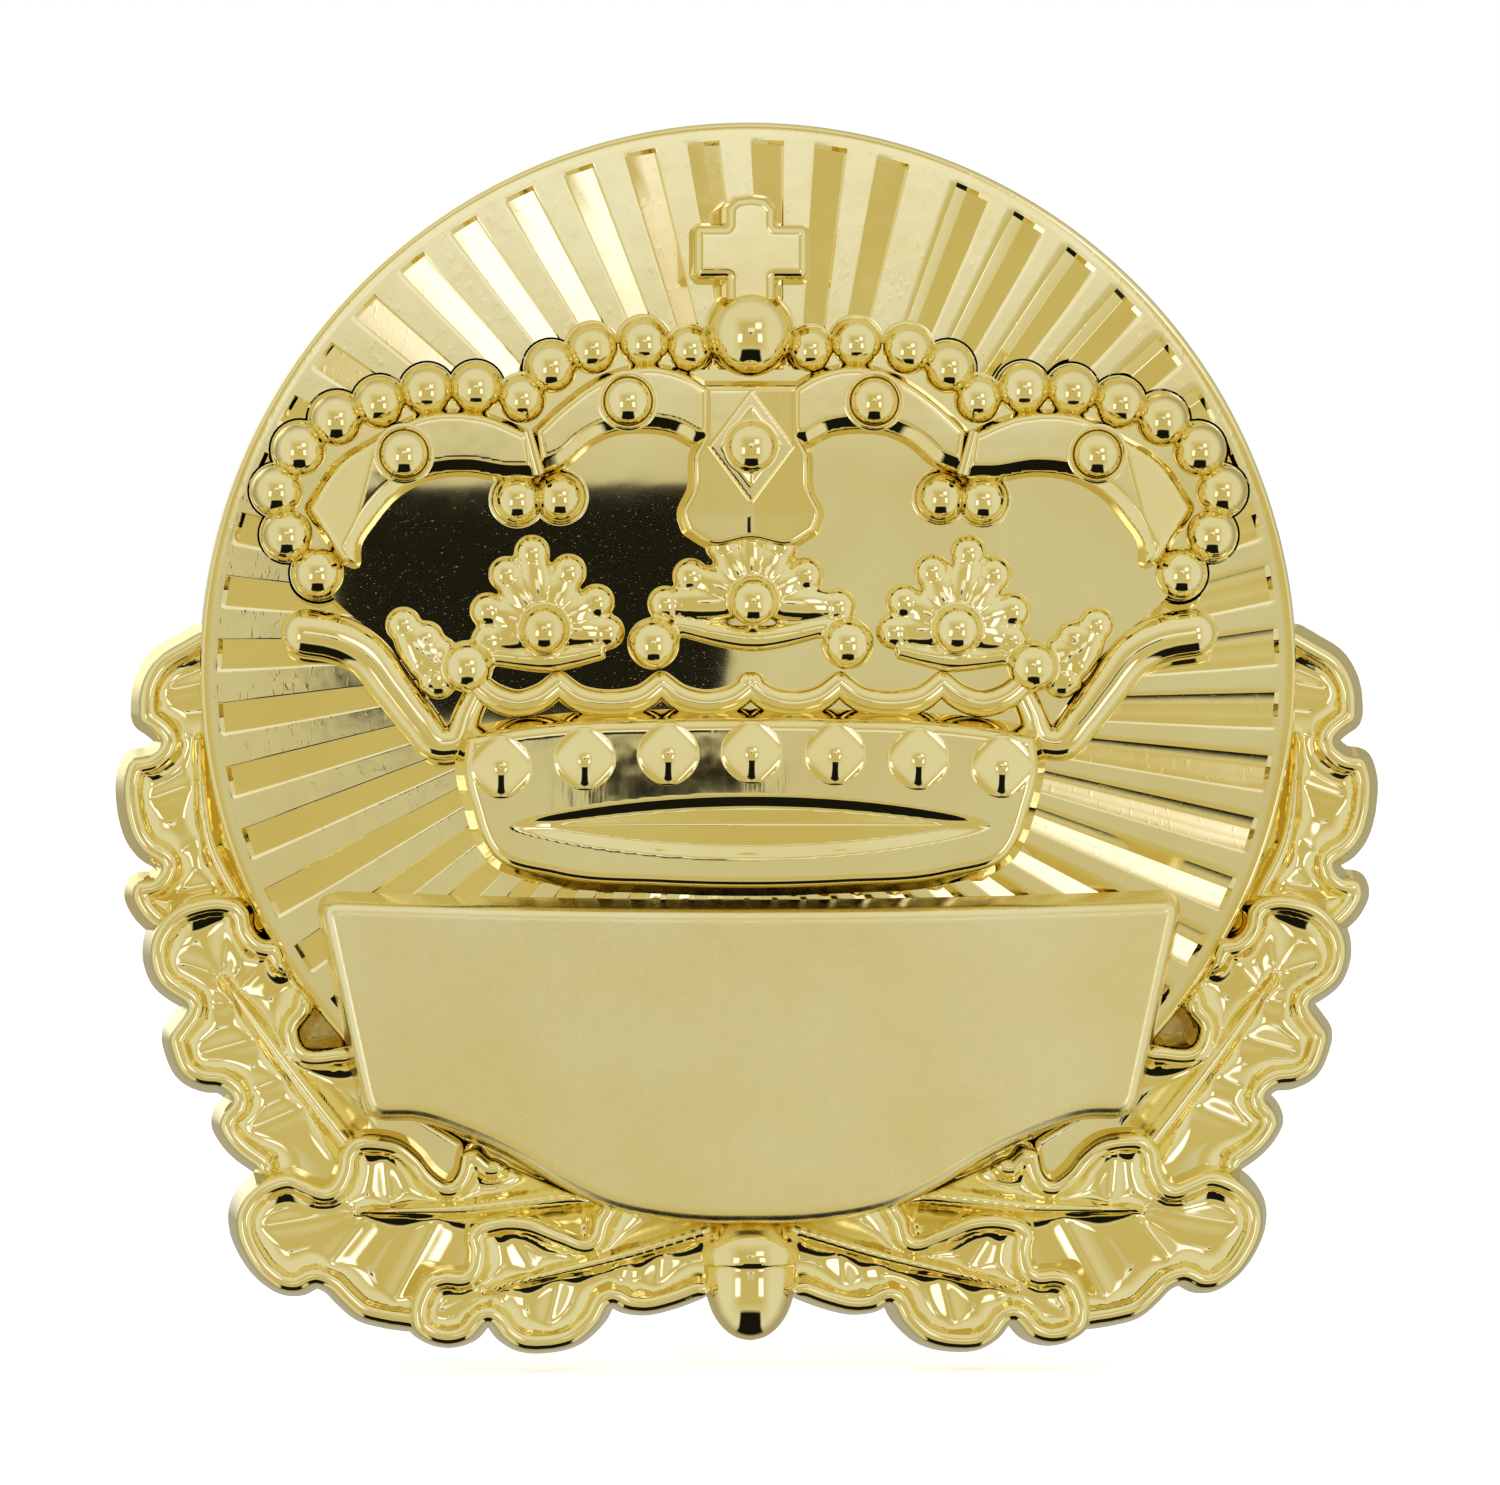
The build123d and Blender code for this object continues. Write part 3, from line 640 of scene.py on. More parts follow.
def oakLeaf(name, node, lift, rims, root, rib, ribHalf, veins, ribbed=0):
    # Rims are the seen edges, and root the covered way round from each to the next.
    top = frontOf(node)
    beaded = [smoothLine(points, corners) for points, corners in rims]
    outline = []
    for line, cover in zip(beaded, root):
        outline += line + smoothLine([line[-1]] + cover, range(len(cover) + 1), spacing=0.3)[1:]
    spine = smoothLine(rib)
    spineLength = sum(math.dist(a, b) for a, b in zip(spine, spine[1:]))
    base = top - leafShape["beadRise"]

    def heightAt(points):
        edge = np.full(len(points), 1e9)
        for line in beaded:
            edge = np.minimum(edge, nearest(points, line)[0])
        half = leafShape["beadHalf"]
        bead = np.sqrt(np.clip(1 - ((edge - half) / half) ** 2, 0, 1)) * leafShape["beadRise"]
        fromRib, along = nearest(points, spine)
        width = np.interp(along, np.linspace(0, 1, len(ribHalf)), ribHalf)
        sunk = np.clip(edge - leafShape["grooveEnd"], 0, None) * leafShape["edgeSlope"]
        sunk = np.minimum(sunk, np.clip(fromRib - width, 0, None) * leafShape["edgeSlope"])
        for vein in veins:
            fall = nearest(points, vein)[0] * leafShape["veinSlope"] + leafShape["veinTop"]
            sunk = np.minimum(sunk, fall)
        sunk = leafShape["deepest"] * np.tanh(sunk / leafShape["deepest"])
        inFloor = edge > 2 * half
        floorHeight = base - leafShape["grooveSink"] - sunk
        ridge = np.clip(1 - fromRib / width, 0, 1)
        raised = base - leafShape["grooveSink"] + leafShape["ribRise"] * np.sqrt(ridge)
        if ribbed:
            waves = np.sin(along * spineLength / leafShape["ribPitch"] * math.tau)
            raised += leafShape["ribWave"] * waves * (along > 1 - ribbed)
        floorHeight = np.where(fromRib < width, np.maximum(raised, floorHeight), floorHeight)
        return np.where(inFloor, floorHeight, base + bead)

    def floorAt(points):
        # Where the facets are softened further.
        edge = np.full(len(points), 1e9)
        for line in beaded:
            edge = np.minimum(edge, nearest(points, line)[0])
        return (edge > leafShape["grooveEnd"]) & (nearest(points, spine)[0] > max(ribHalf) + 0.05)

    return relief(name, outline, plateFront + lift, top, leafShape["grain"], heightAt,
                  leafShape["draft"], leafShape["soft"], floorAt, leafShape["floorSoft"])


def onDiscEdge(start, end, steps=6):
    # Places along the disc's edge, between two bearings.
    radius = discRadius + 0.05
    return [(radius * math.cos(math.radians(b)), radius * math.sin(math.radians(b)))
            for b in np.linspace(start, end, steps)]


# The left leaf of each pair, which the right one mirrors. A rib runs from its tip to its root.
leafDrawings = {
    "upper_leaf": {
        "rims": [([(-22.08, 1.6), (-22.64, 1.28), (-23.88, 0.44), (-24.32, -0.36), (-24.48, -1.36),
            (-24.4, -2.0), (-24.04, -2.24), (-23.56, -2.8), (-24.04, -3.32), (-24.76, -3.48),
            (-25.04, -4.12), (-25.08, -5.12), (-24.96, -5.92), (-24.68, -6.72), (-24.28, -7.24),
            (-23.56, -7.8), (-23.88, -8.28), (-24.6, -8.44), (-24.76, -8.92), (-24.44, -9.68),
            (-23.8, -10.32)], ())],
        "root": [[(-22.5, -12.0), (-19.0, -12.0), (-21.0, -5.0), (-21.6, 1.5)]],
        "rib": [(-22.05, -2.6), (-21.95, -4.44), (-21.6, -6.88), (-20.4, -9.36), (-19.9, -10.4)],
        "ribHalf": [0.12, 0.3, 0.34, 0.34],
        "veins": [[(-22.1, -2.5), (-23.3, -2.8)], [(-21.7, -6.3), (-23.3, -7.7)], [(-22.0, -4.4),
            (-24.2, -5.2)], [(-22.0, -0.5), (-23.9, -0.9)], [(-20.8, -8.4), (-24.1, -9.0)]]},
    "side_leaf": {
        "rims": [([(-18.6, -11.32), (-18.84, -10.84), (-19.56, -10.68), (-19.92, -10.28),
            (-20.08, -9.56), (-20.48, -9.12), (-21.04, -8.96), (-22.04, -9.04), (-22.92, -9.36),
            (-23.56, -9.96), (-23.92, -10.6), (-23.96, -11.76), (-23.56, -12.56), (-23.16, -12.88),
            (-22.52, -13.36), (-22.92, -14.04), (-23.24, -14.52), (-23.12, -15.32),
            (-22.68, -16.16), (-21.88, -16.56), (-21.2, -16.64), (-20.72, -17.12), (-21.12, -17.64),
            (-21.28, -18.12), (-21.04, -18.68), (-20.48, -19.32), (-19.76, -19.84)], ()),
            ([(-16.32, -15.0), (-17.88, -14.92), (-18.04, -14.36), (-17.52, -13.56),
            (-17.5, -13.3)], ())],
        "root": [[(-18.0, -20.8), (-14.5, -21.0), (-11.3, -20.2), (-11.5, -18.9), (-13.1, -17.9),
            (-15.6, -15.6)], onDiscEdge(217.0, 211.6)],
        "rib": [(-21.12, -12.2), (-18.75, -15.45), (-16.1, -18.9)],
        "ribHalf": [0.08, 0.32, 0.40, 0.42],
        "veins": [[(-20.4, -13.2), (-22.3, -13.4)], [(-18.3, -16.1), (-20.5, -17.0)],
            [(-19.5, -14.4), (-18.3, -14.2)], [(-21.1, -12.2), (-23.0, -11.6)], [(-21.1, -12.2),
            (-20.9, -9.9)], [(-20.6, -12.9), (-19.2, -11.4)], [(-19.4, -14.6), (-22.4, -15.4)],
            [(-17.4, -17.2), (-20.2, -18.4)]]},
    "lower_leaf": {
        "rims": [([(-10.36, -19.5), (-10.96, -19.05), (-11.48, -19.12), (-11.76, -20.0),
            (-12.0, -20.32), (-12.6, -20.0), (-13.2, -19.28), (-14.0, -18.68), (-14.8, -18.5),
            (-15.92, -18.6), (-16.36, -19.12), (-16.5, -19.9), (-16.88, -20.5), (-17.72, -20.24),
            (-18.32, -20.0), (-19.2, -20.16), (-20.08, -20.76), (-20.56, -21.64), (-20.56, -22.32),
            (-20.16, -23.36), (-19.48, -24.24), (-18.6, -24.76), (-18.0, -24.76), (-17.4, -24.48),
            (-16.88, -24.68), (-16.36, -25.2), (-15.64, -25.8), (-14.68, -26.08), (-13.64, -26.24)],
            ())],
        "root": [[(-12.4, -26.0), (-8.0, -24.3), (-5.2, -22.6),
            (-5.2, -21.5)] + onDiscEdge(255.6, 242.2)],
        "rib": [(-15.7, -21.55), (-13.6, -21.5), (-11.4, -21.45), (-9.0, -21.2), (-6.4, -20.9)],
        "ribHalf": [0.06, 0.24, 0.36, 0.44, 0.46], "ribbed": 0.6,
        "veins": [[(-12.6, -21.3), (-12.0, -20.5)], [(-15.8, -21.5), (-16.8, -20.8)],
            [(-15.3, -21.7), (-17.3, -24.2)], [(-12.4, -21.7), (-14.3, -25.2)], [(-14.4, -21.4),
            (-14.6, -19.3)], [(-16.0, -21.6), (-19.6, -22.2)]]},
    "inner_leaf": {
        "rims": [([(-5.92, -21.24), (-6.28, -21.84), (-6.48, -22.5), (-7.44, -22.24),
            (-8.84, -21.72), (-10.12, -21.68), (-10.96, -21.96), (-11.36, -22.56), (-11.24, -23.12),
            (-11.44, -23.84), (-12.24, -23.84), (-12.96, -24.08), (-13.4, -24.76), (-13.6, -25.6),
            (-13.48, -26.2), (-12.84, -26.72), (-12.0, -26.88), (-11.2, -26.64), (-10.48, -25.96),
            (-9.88, -26.64), (-9.32, -27.0), (-8.12, -27.1), (-6.96, -26.8), (-6.04, -25.96),
            (-5.56, -25.24), (-5.08, -25.48), (-4.28, -25.6), (-3.08, -25.36), (-2.1, -25.0)], ())],
        "root": [[(-0.3, -24.0), (-0.3, -22.2)] + onDiscEdge(267.0, 257.0, 4)],
        "rib": [(-10.6, -24.66), (-8.2, -24.05), (-5.2, -23.32), (-1.8, -22.3)],
        "ribHalf": [0.06, 0.26, 0.32, 0.34], "ribbed": 0.8,
        "veins": [[(-7.0, -23.6), (-6.5, -22.7)], [(-10.5, -24.6), (-11.4, -24.0)], [(-9.6, -24.5),
            (-10.4, -25.7)], [(-5.0, -23.5), (-5.5, -24.9)], [(-7.6, -24.0), (-8.2, -26.4)],
            [(-10.7, -24.7), (-12.9, -25.8)], [(-8.6, -24.0), (-9.6, -22.4)], [(-3.6, -23.0),
            (-3.8, -25.0)]]},
}
for order, (kind, drawing) in enumerate(leafDrawings.items()):
    lift = order * leafShape["lift"]            # so that no two backs lie in one plane
    leaf = oakLeaf(kind + "Left", kind + "_left", lift, **drawing)
    other = mirrorCopy(leaf, kind + "Right")
    setOnBadge(leaf, polishedGilt, [kind + "_left"], crease=60)
    setOnBadge(other, polishedGilt, [kind + "_right"], crease=60)
    print(kind, "ready", len(leaf.data.polygons), "faces")


# The acorn, from its cup at the top to its tip, as (radius, height), with a sharp lip to the cup.
acornShape = {"lip": (6, 7, 8), "height": 3.1, "flatten": 0.9, "steps": 48, "profile": [
    (0.0, -21.85), (0.7, -21.9), (1.35, -22.15), (1.75, -22.55), (1.98, -23.0), (2.05, -23.35),
    (2.0, -23.62), (1.86, -23.72), (1.82, -23.8), (1.84, -24.1), (1.80, -24.7), (1.66, -25.3),
    (1.42, -25.85), (1.08, -26.3), (0.66, -26.62), (0.28, -26.75), (0.0, -26.8)]}
acornLine = smoothLine(acornShape["profile"], acornShape["lip"], spacing=0.12)
acorn = turned("acornBody", [(abs(r), h) for r, h in acornLine], steps=acornShape["steps"])
acorn.data.transform(Matrix.Translation((0, 0, acornShape["height"]))
                     @ Matrix.Scale(acornShape["flatten"], 4, (0, 0, 1))
                     @ Matrix.Rotation(math.radians(-90), 4, "X"))
setOnBadge(acorn, polishedGilt, ["acorn"], crease=40)
print("acorn ready")


# The title plaque: blank, with a rounded edge.
plaqueShape = {"rounding": 0.5, "draft": 0.3, "grain": 0.11, "soft": 2, "leftEdge": [
    (-8.5, -9.3), (-16.55, -9.05), (-16.95, -9.2), (-17.05, -9.6), (-15.45, -17.0), (-15.2, -17.5),
    (-14.7, -17.7), (-13.4, -17.72), (-11.3, -18.4), (-9.3, -19.35), (-7.5, -20.45), (-5.8, -21.25),
    (-3.2, -21.8)], "middleTop": (0, -9.4), "middleFoot": (0, -21.95), "turns": range(2, 8)}
plaqueFront = frontOf("title_plaque")
leftEdge = plaqueShape["leftEdge"]
plaquePoints = [plaqueShape["middleTop"], *leftEdge, plaqueShape["middleFoot"], *mirrored(leftEdge)]
plaqueTurns = [*plaqueShape["turns"], *(len(plaquePoints) - k for k in plaqueShape["turns"])]
plaqueOutline = smoothLine(plaquePoints, plaqueTurns, closed=True, spacing=0.25)


def plaqueHeight(points):
    return plaqueFront - edgeDrop(nearest(points, plaqueOutline, True)[0], plaqueShape["rounding"])


plaque = relief("plaqueBody", plaqueOutline, discFront, plaqueFront, plaqueShape["grain"],
                plaqueHeight, plaqueShape["draft"], plaqueShape["soft"])
setOnBadge(plaque, satinGilt, ["title_plaque"], crease=35)
print("plaque ready")


# The crown: pearls over the arches, each a bead with a small fillet at its foot.
archFront = frontOf("crown_arches")
circletFront = frontOf("crown_circlet")
pearlShape = {
    "flare": 0.16, "places": [(-2.4, 12.9), (-4.24, 13.16), (-6.3, 12.9), (-7.94, 12.18),
        (-9.1, 10.9), (-10.95, 11.34), (-12.9, 11.24), (-14.8, 10.76), (-16.5, 10.1), (-17.98, 8.9),
        (-18.88, 7.26), (-18.48, 5.5), (-17.26, 3.96)],
    "radii": [0.92, 1.02, 1.02, 1.05, 0.97, 1.05, 1.05, 1.05, 1.09, 1.09, 1.05, 1.05, 1.05],
    "hanging": [(-9.3, 6.9), (-7.6, 7.0)]}
jewelShape = {"radius": 1.06, "sunk": 0.30, "places": [(-13.8, 8.7), (-4.9, 10.8)]}


def beadOn(name, radius, seat, foot):
    # A bead whose middle is at the height of seat, standing on a face at foot.
    profile = [(radius * math.sin(math.radians(a)), seat + radius * math.cos(math.radians(a)))
               for a in range(0, 91, 6)]
    flare = pearlShape["flare"]
    profile += [(radius + flare * (1 - math.cos(math.radians(a))),
                 foot + flare * (1 - math.sin(math.radians(a)))) for a in range(0, 91, 30)]
    profile += [(radius + flare, foot - 0.02), (0, foot - 0.02)]
    return turned(name, profile)


pearl = beadOn("pearl", 1.0, fieldFront, discFront)
standing = beadOn("standing", 1.0, fieldFront + 0.05, fieldFront)
beads = []
for side in (1, -1):
    for (x, y), radius in zip(pearlShape["places"], pearlShape["radii"]):
        one = copied(pearl, (0, 0, 0))
        one.data.transform(Matrix.Translation((side * x, y, fieldFront)) @ Matrix.Scale(radius, 4)
                           @ Matrix.Translation((0, 0, -fieldFront)))
        beads.append(one)
    for x, y in pearlShape["hanging"]:
        beads.append(copied(standing, (side * x, y, 0)))
bpy.data.objects.remove(pearl)
bpy.data.objects.remove(standing)
pearls = joined(beads, "archPearls")
for vertex in pearls.data.vertices:
    vertex.co.z = max(vertex.co.z, discFront)
setOnBadge(pearls, polishedGilt, ["arch_pearls"], crease=50)

# the arches: an outer and an inner band on each side, with a strap between them
archShape = {
    "round": 0.22, "grain": 0.075, "facet": 0.36, "under": 0.5, "underSlope": 0.85, "draft": 0.22,
    "outer": [(-17.64, 6.56), (-16.32, 8.4), (-14.96, 9.24), (-13.04, 10.2), (-10.68, 10.2),
        (-8.84, 9.48), (-8.6, 7.76), (-9.64, 7.76), (-11.48, 8.0), (-13.04, 7.76), (-14.16, 7.12),
        (-15.08, 6.08), (-15.72, 5.0), (-15.72, 4.28), (-16.28, 4.52)],
    "inner": [(-8.56, 9.6), (-7.3, 10.75), (-6.08, 11.6), (-4.0, 12.16), (-2.32, 11.7),
        (-1.7, 11.3), (-1.7, 9.1), (-2.08, 9.08), (-3.12, 9.56), (-4.44, 9.72), (-5.64, 9.56),
        (-6.56, 9.08), (-7.28, 8.44), (-8.3, 8.0)],
    "strap": [(-1.92, 11.44), (-1.9, 9.4), (-2.24, 8.76), (-2.36, 7.28), (-2.76, 6.28),
        (-2.56, 5.64), (-1.56, 5.08)], "strapFoot": (0, 5.3),
    "hollow": 0.06, "hollowTop": 9.2, "fold": 0.07}
outerArch = smoothLine(archShape["outer"], (0, 5, 6, 13, 14), closed=True, spacing=0.2)
innerArch = smoothLine(archShape["inner"], (0, 5, 6, 13), closed=True, spacing=0.2)
strap = smoothLine(archShape["strap"] + [archShape["strapFoot"]] + mirrored(archShape["strap"]),
                   (0, 1, 5, 9, 13, 14), closed=True, spacing=0.2)
outerUnder = smoothLine([(-8.7, 7.76)] + archShape["outer"][7:13])
innerUnder = smoothLine(archShape["inner"][6:])


def underChamfer(points, line):
    # The sloping underside of a band, which looks down.
    return np.clip(archShape["under"] - nearest(points, line)[0], 0, None) * archShape["underSlope"]


def outerHeight(points):
    # Flat, and folded down past a crease near the outer end.
    edge = nearest(points, outerArch, True)[0]
    crease = (points[:, 0] + 14.88) * -0.967 + (points[:, 1] - 9.24) * 0.254
    drop = np.maximum(edgeDrop(edge, archShape["round"]), underChamfer(points, outerUnder))
    return archFront - drop - np.clip(crease, 0, 2) * archShape["facet"]


def innerHeight(points):
    edge = nearest(points, innerArch, True)[0]
    return archFront - np.maximum(edgeDrop(edge, archShape["round"]), underChamfer(points,
                                                                                   innerUnder))


def strapHeight(points):
    # Hollowed towards the foot, and falling a little to both sides of its middle.
    edge = nearest(points, strap, True)[0]
    hollow = np.clip(archShape["hollowTop"] - points[:, 1], 0, 3) * archShape["hollow"]
    fold = np.clip(np.abs(points[:, 0]) - 0.1, 0, 2.4) * archShape["fold"]
    return archFront - edgeDrop(edge, archShape["round"]) - hollow - fold


arches = []
for name, outline, heights in (("outerArch", outerArch, outerHeight), ("innerArch", innerArch,
                                                                       innerHeight)):
    arch = relief(name, outline, fieldFront, archFront, archShape["grain"], heights,
                  archShape["draft"], 1)
    arches += [arch, mirrorCopy(arch, name + "Right")]
arches.append(relief("strap", strap, fieldFront, archFront, archShape["grain"], strapHeight,
                     archShape["draft"], 1))
ridge = tube("ridge", [(-8.9, 9.6, archFront - 0.18), (-8.45, 7.9, archFront - 0.25)], [0.22, 0.26])
arches += [ridge, mirrorCopy(ridge, "ridgeRight")]
setOnBadge(joined(arches, "crownArches"), polishedGilt, ["crown_arches"],
           crease=50)

jewel = beadOn("jewel", jewelShape["radius"], archFront - jewelShape["sunk"], archFront)
jewels = [copied(jewel, (side * x, y, 0)) for side in (1, -1) for x, y in jewelShape["places"]]
bpy.data.objects.remove(jewel)
setOnBadge(joined(jewels, "archJewels"), polishedGilt, ["arch_jewels"], crease=50)

# the strap's lozenge, with a round bead in it
lozengeShape = {"outline": [(0, 11.25), (1.68, 9.0), (0, 6.75), (-1.68, 9.0)], "middle": 9.0,
                "edge": 0.05, "slope": 0.38, "beadFoot": 0.2, "bead": 1.0, "beadRise": 0.75,
                "grain": 0.05, "draft": 0.08}


def lozengeHeight(points):
    edge = nearest(points, lozengeShape["outline"], True)[0]
    fromMiddle = np.hypot(points[:, 0], points[:, 1] - lozengeShape["middle"])
    faces = archFront + lozengeShape["edge"] + np.clip(edge, 0, 1.4) * lozengeShape["slope"]
    dome = np.sqrt(np.clip(1 - (fromMiddle / lozengeShape["bead"]) ** 2, 0,
                           1)) * lozengeShape["beadRise"]
    return np.maximum(faces, archFront + lozengeShape["beadFoot"] + dome)


lozenge = relief("strapLozenge", smoothLine(lozengeShape["outline"], range(4), True, 0.1),
                 archFront - 0.25,
                 archFront + 0.5, lozengeShape["grain"], lozengeHeight, lozengeShape["draft"], 3)
setOnBadge(lozenge, polishedGilt, ["strap_lozenge"], crease=40)

# the cross and the orb below it
crossShape = {"high": 1.8, "rounding": 0.38, "steepness": 1.1, "grain": 0.06, "draft": 0.16,
              "leftHalf": [
    (-0.98, 15.0), (-0.98, 15.64), (-2.1, 15.64), (-2.28, 15.85), (-2.28, 17.6), (-2.1, 17.8),
    (-0.98, 17.8), (-0.98, 18.5), (-0.6, 18.9)], "top": (0, 18.98), "foot": [(0.98, 14.0),
                                                                             (-0.98, 14.0)]}
orbShape = {"radius": 1.76, "seat": 0.88, "place": (0, 13.55, 0),
            "foot": [(1.76, 0.14), (1.8, 0.04), (1.9, 0), (0, 0)]}
crossFront = discFront + crossShape["high"]
leftHalf = crossShape["leftHalf"]
crossPoints = leftHalf + [crossShape["top"]] + mirrored(leftHalf) + crossShape["foot"]
crossLine = smoothLine(crossPoints, range(len(crossPoints)), True, 0.1)


def crossHeight(points):
    drop = edgeDrop(nearest(points, crossLine, True)[0], crossShape["rounding"])
    return crossFront - drop * crossShape["steepness"]


cross = relief("cross", crossLine, discFront, crossFront, crossShape["grain"], crossHeight,
               crossShape["draft"], 3)
orbProfile = [(orbShape["radius"] * math.sin(math.radians(a)),
               discFront + orbShape["seat"] + orbShape["radius"] * math.cos(math.radians(a)))
              for a in range(0, 91, 5)] + [(r, discFront + h) for r, h in orbShape["foot"]]
orb = turned("orb", orbProfile, orbShape["place"], 48)
setOnBadge(joined([cross, orb], "orbAndCross"), polishedGilt, ["orb_and_cross"],
           crease=40)
print("crown top ready")

# the band, with its long hollow, which has a low ridge along its middle
circletShape = {
    "top": [(-11.3, -2.55), (-10.4, -2.36), (-8.08, -2.04), (-3.64, -1.84)], "middleTop": (0, -1.8),
    "side": [(-3.64, -8.5), (-7.76, -8.16), (-10.3, -7.25), (-10.55, -6.9), (-11.1, -5.4),
        (-11.45, -3.8)],
    "middleFoot": (0, -8.6), "round": 0.45, "grain": 0.08, "draft": 0.38, "halfLength": 9.75,
    "middle": -6.08, "up": 1.15, "down": 1.25, "deep": 0.42, "ridge": 0.20, "wallSlope": 2.4}
circletPoints = circletShape["top"] + [circletShape["middleTop"]] + mirrored(circletShape["top"])
circletPoints += mirrored(circletShape["side"]) + [circletShape["middleFoot"]]
circletPoints += circletShape["side"]
circletOutline = smoothLine(circletPoints, (0, 8), closed=True, spacing=0.25)


def circletHeight(points):
    edge = nearest(points, circletOutline, True)[0]
    spread = np.clip(1 - (points[:, 0] / circletShape["halfLength"]) ** 2, 0, 1)
    rise = points[:, 1] - circletShape["middle"]
    reach = np.where(rise > 0, circletShape["up"], circletShape["down"]) * spread ** 0.9 + 1e-6
    share = np.abs(rise) / reach            # 0 on the ridge, 1 on the hollow's edge
    slope = circletShape["ridge"] + (circletShape["deep"] - circletShape["ridge"]) * share
    wall = np.clip((1 - share) * reach * circletShape["wallSlope"], 0, 1)
    sunk = np.where(share < 1, slope * wall * np.clip(spread * 3, 0, 1), 0)
    return circletFront - edgeDrop(edge, circletShape["round"]) - sunk


circlet = relief("crownCirclet", circletOutline, fieldFront, circletFront, circletShape["grain"],
                 circletHeight, circletShape["draft"], 1)
setOnBadge(circlet, polishedGilt, ["crown_circlet"], crease=50)

# seven four-sided studs, drawn once and copied along the band's curve
studShape = {"count": 7, "apart": 3.32, "height": -3.16, "bend": 0.0058, "edge": 0.06, "rise": 0.56,
             "reach": 1.2, "blunt": 0.24, "grain": 0.06, "draft": 0.05}
studLine = smoothLine([(0.17, 1.24), (1.24, 0.17), (1.24, -0.17), (0.17, -1.24), (-0.17, -1.24),
                       (-1.24, -0.17), (-1.24, 0.17), (-0.17, 1.24)], (), True, 0.08)


def studHeight(points):
    soft = np.sqrt(points ** 2 + studShape["blunt"] ** 2) - studShape["blunt"]
    share = np.clip((soft[:, 0] + soft[:, 1]) / studShape["reach"], 0, 1)
    peak = 0.5 + 0.5 * np.cos(math.pi * share ** 0.8)
    return circletFront + studShape["edge"] + studShape["rise"] * peak


stud = relief("stud", studLine, circletFront - 0.3, circletFront + 0.5, studShape["grain"],
              studHeight, studShape["draft"], 4)
studs = []
for k in range(studShape["count"]):
    x = (k - studShape["count"] // 2) * studShape["apart"]
    studs.append(copied(stud, (x, studShape["height"] - studShape["bend"] * x ** 2, 0)))
bpy.data.objects.remove(stud)
setOnBadge(joined(studs, "circletStuds"), polishedGilt, ["circlet_studs"],
           crease=30)

# the brim: two flares and the scalloped rope between them
brimShape = {
    "flare": [(-17.75, 1.55), (-16.6, 1.35), (-15.4, 0.75), (-14.3, -0.6), (-13.3, -1.9),
        (-12.4, -2.85), (-11.75, -2.75), (-11.3, -1.7), (-10.9, -0.85)],
    "flareRadii": [1.0, 1.0, 0.92, 0.88, 0.84, 0.8, 0.72, 0.62, 0.55], "flareSunk": 0.1,
    "end": (1.0, 0.98, 0.98), "cusps": [-10.9, -7.66, -3.55, 0.1], "cuspAt": -0.45,
    "sag": [-0.98, -1.25],
    "shoulder": 0.7, "ropeRadii": [0.5, 0.56, 0.56, 0.5], "ropeUp": 0.28, "around": 8}
flareHeight = fieldFront - brimShape["flareSunk"]
ropeHeight = fieldFront + brimShape["ropeUp"]
flare = tube("flare", [(x, y, flareHeight) for x, y in smoothLine(brimShape["flare"])],
             brimShape["flareRadii"], brimShape["around"])
leftBrim = [flare, ball((*brimShape["flare"][0], flareHeight), brimShape["end"])]
cuspAt, shoulder, (upperSag,
                   lowerSag) = brimShape["cuspAt"], brimShape["shoulder"], brimShape["sag"]
for left, right in zip(brimShape["cusps"], brimShape["cusps"][1:]):
    path = smoothLine([(left, cuspAt), (left + shoulder, upperSag), ((left + right) / 2, lowerSag),
                       (right - shoulder, upperSag), (right, cuspAt)])
    leftBrim.append(tube("scallop", [(x, y, ropeHeight) for x, y in path], brimShape["ropeRadii"],
                         brimShape["around"]))
    leftBrim.append(ball((right, cuspAt, ropeHeight), (brimShape["ropeRadii"][0],) * 3))
brim = leftBrim + [mirrorCopy(piece, piece.name + "R") for piece in leftBrim]
setOnBadge(joined(brim, "crownBrim"), polishedGilt, ["crown_brim"], crease=60)

# the fleurons: lobes round a bead, run together as one casting. A lobe's place is from its bead.
fleuronShape = {
    "lobe": (0.74, 0.74, 0.66), "neck": (0.80, 0.66), "bead": (0.98, 0.98, 0.85),
        "foot": [0.4, 0.55, 0.4],
    "grain": 0.07, "soft": 9, "looseBead": (1.05, 1.05, 1.0), "loosePlaces": [(-3.88, 1.15),
        (-11.3, 0.24)],
    "middle": {"x": 0.1, "y": 2.84, "base": [(-3.2, -0.95), (0, -1.5), (3.2, -0.95)],
        "lobes": [(-0.08, 2.75), (-1.2, 2.25), (1.1, 2.25), (-2.5, 1.0), (2.1, 1.05), (-3.5, -0.1),
        (3.4, -0.2)]},
    "side": {"x": -8.24, "y": 1.72, "base": [(-2.1, -1.05), (0.2, -1.2), (2.4, -0.8)],
        "lobes": [(-0.48, 3.05), (-1.5, 2.2), (0.98, 2.3), (-2.25, 0.75), (-2.2, -0.45), (2.1, 1.1),
        (2.5, -0.1)]},
    "half": {"x": -12.75, "y": 0.0, "base": [(-0.9, 0.9), (-0.4, 0.3), (0, -0.3)],
        "lobes": [(-1.1, 1.9), (-0.2, 1.35), (0.35, 0.75), (0.3, -0.35)]}}


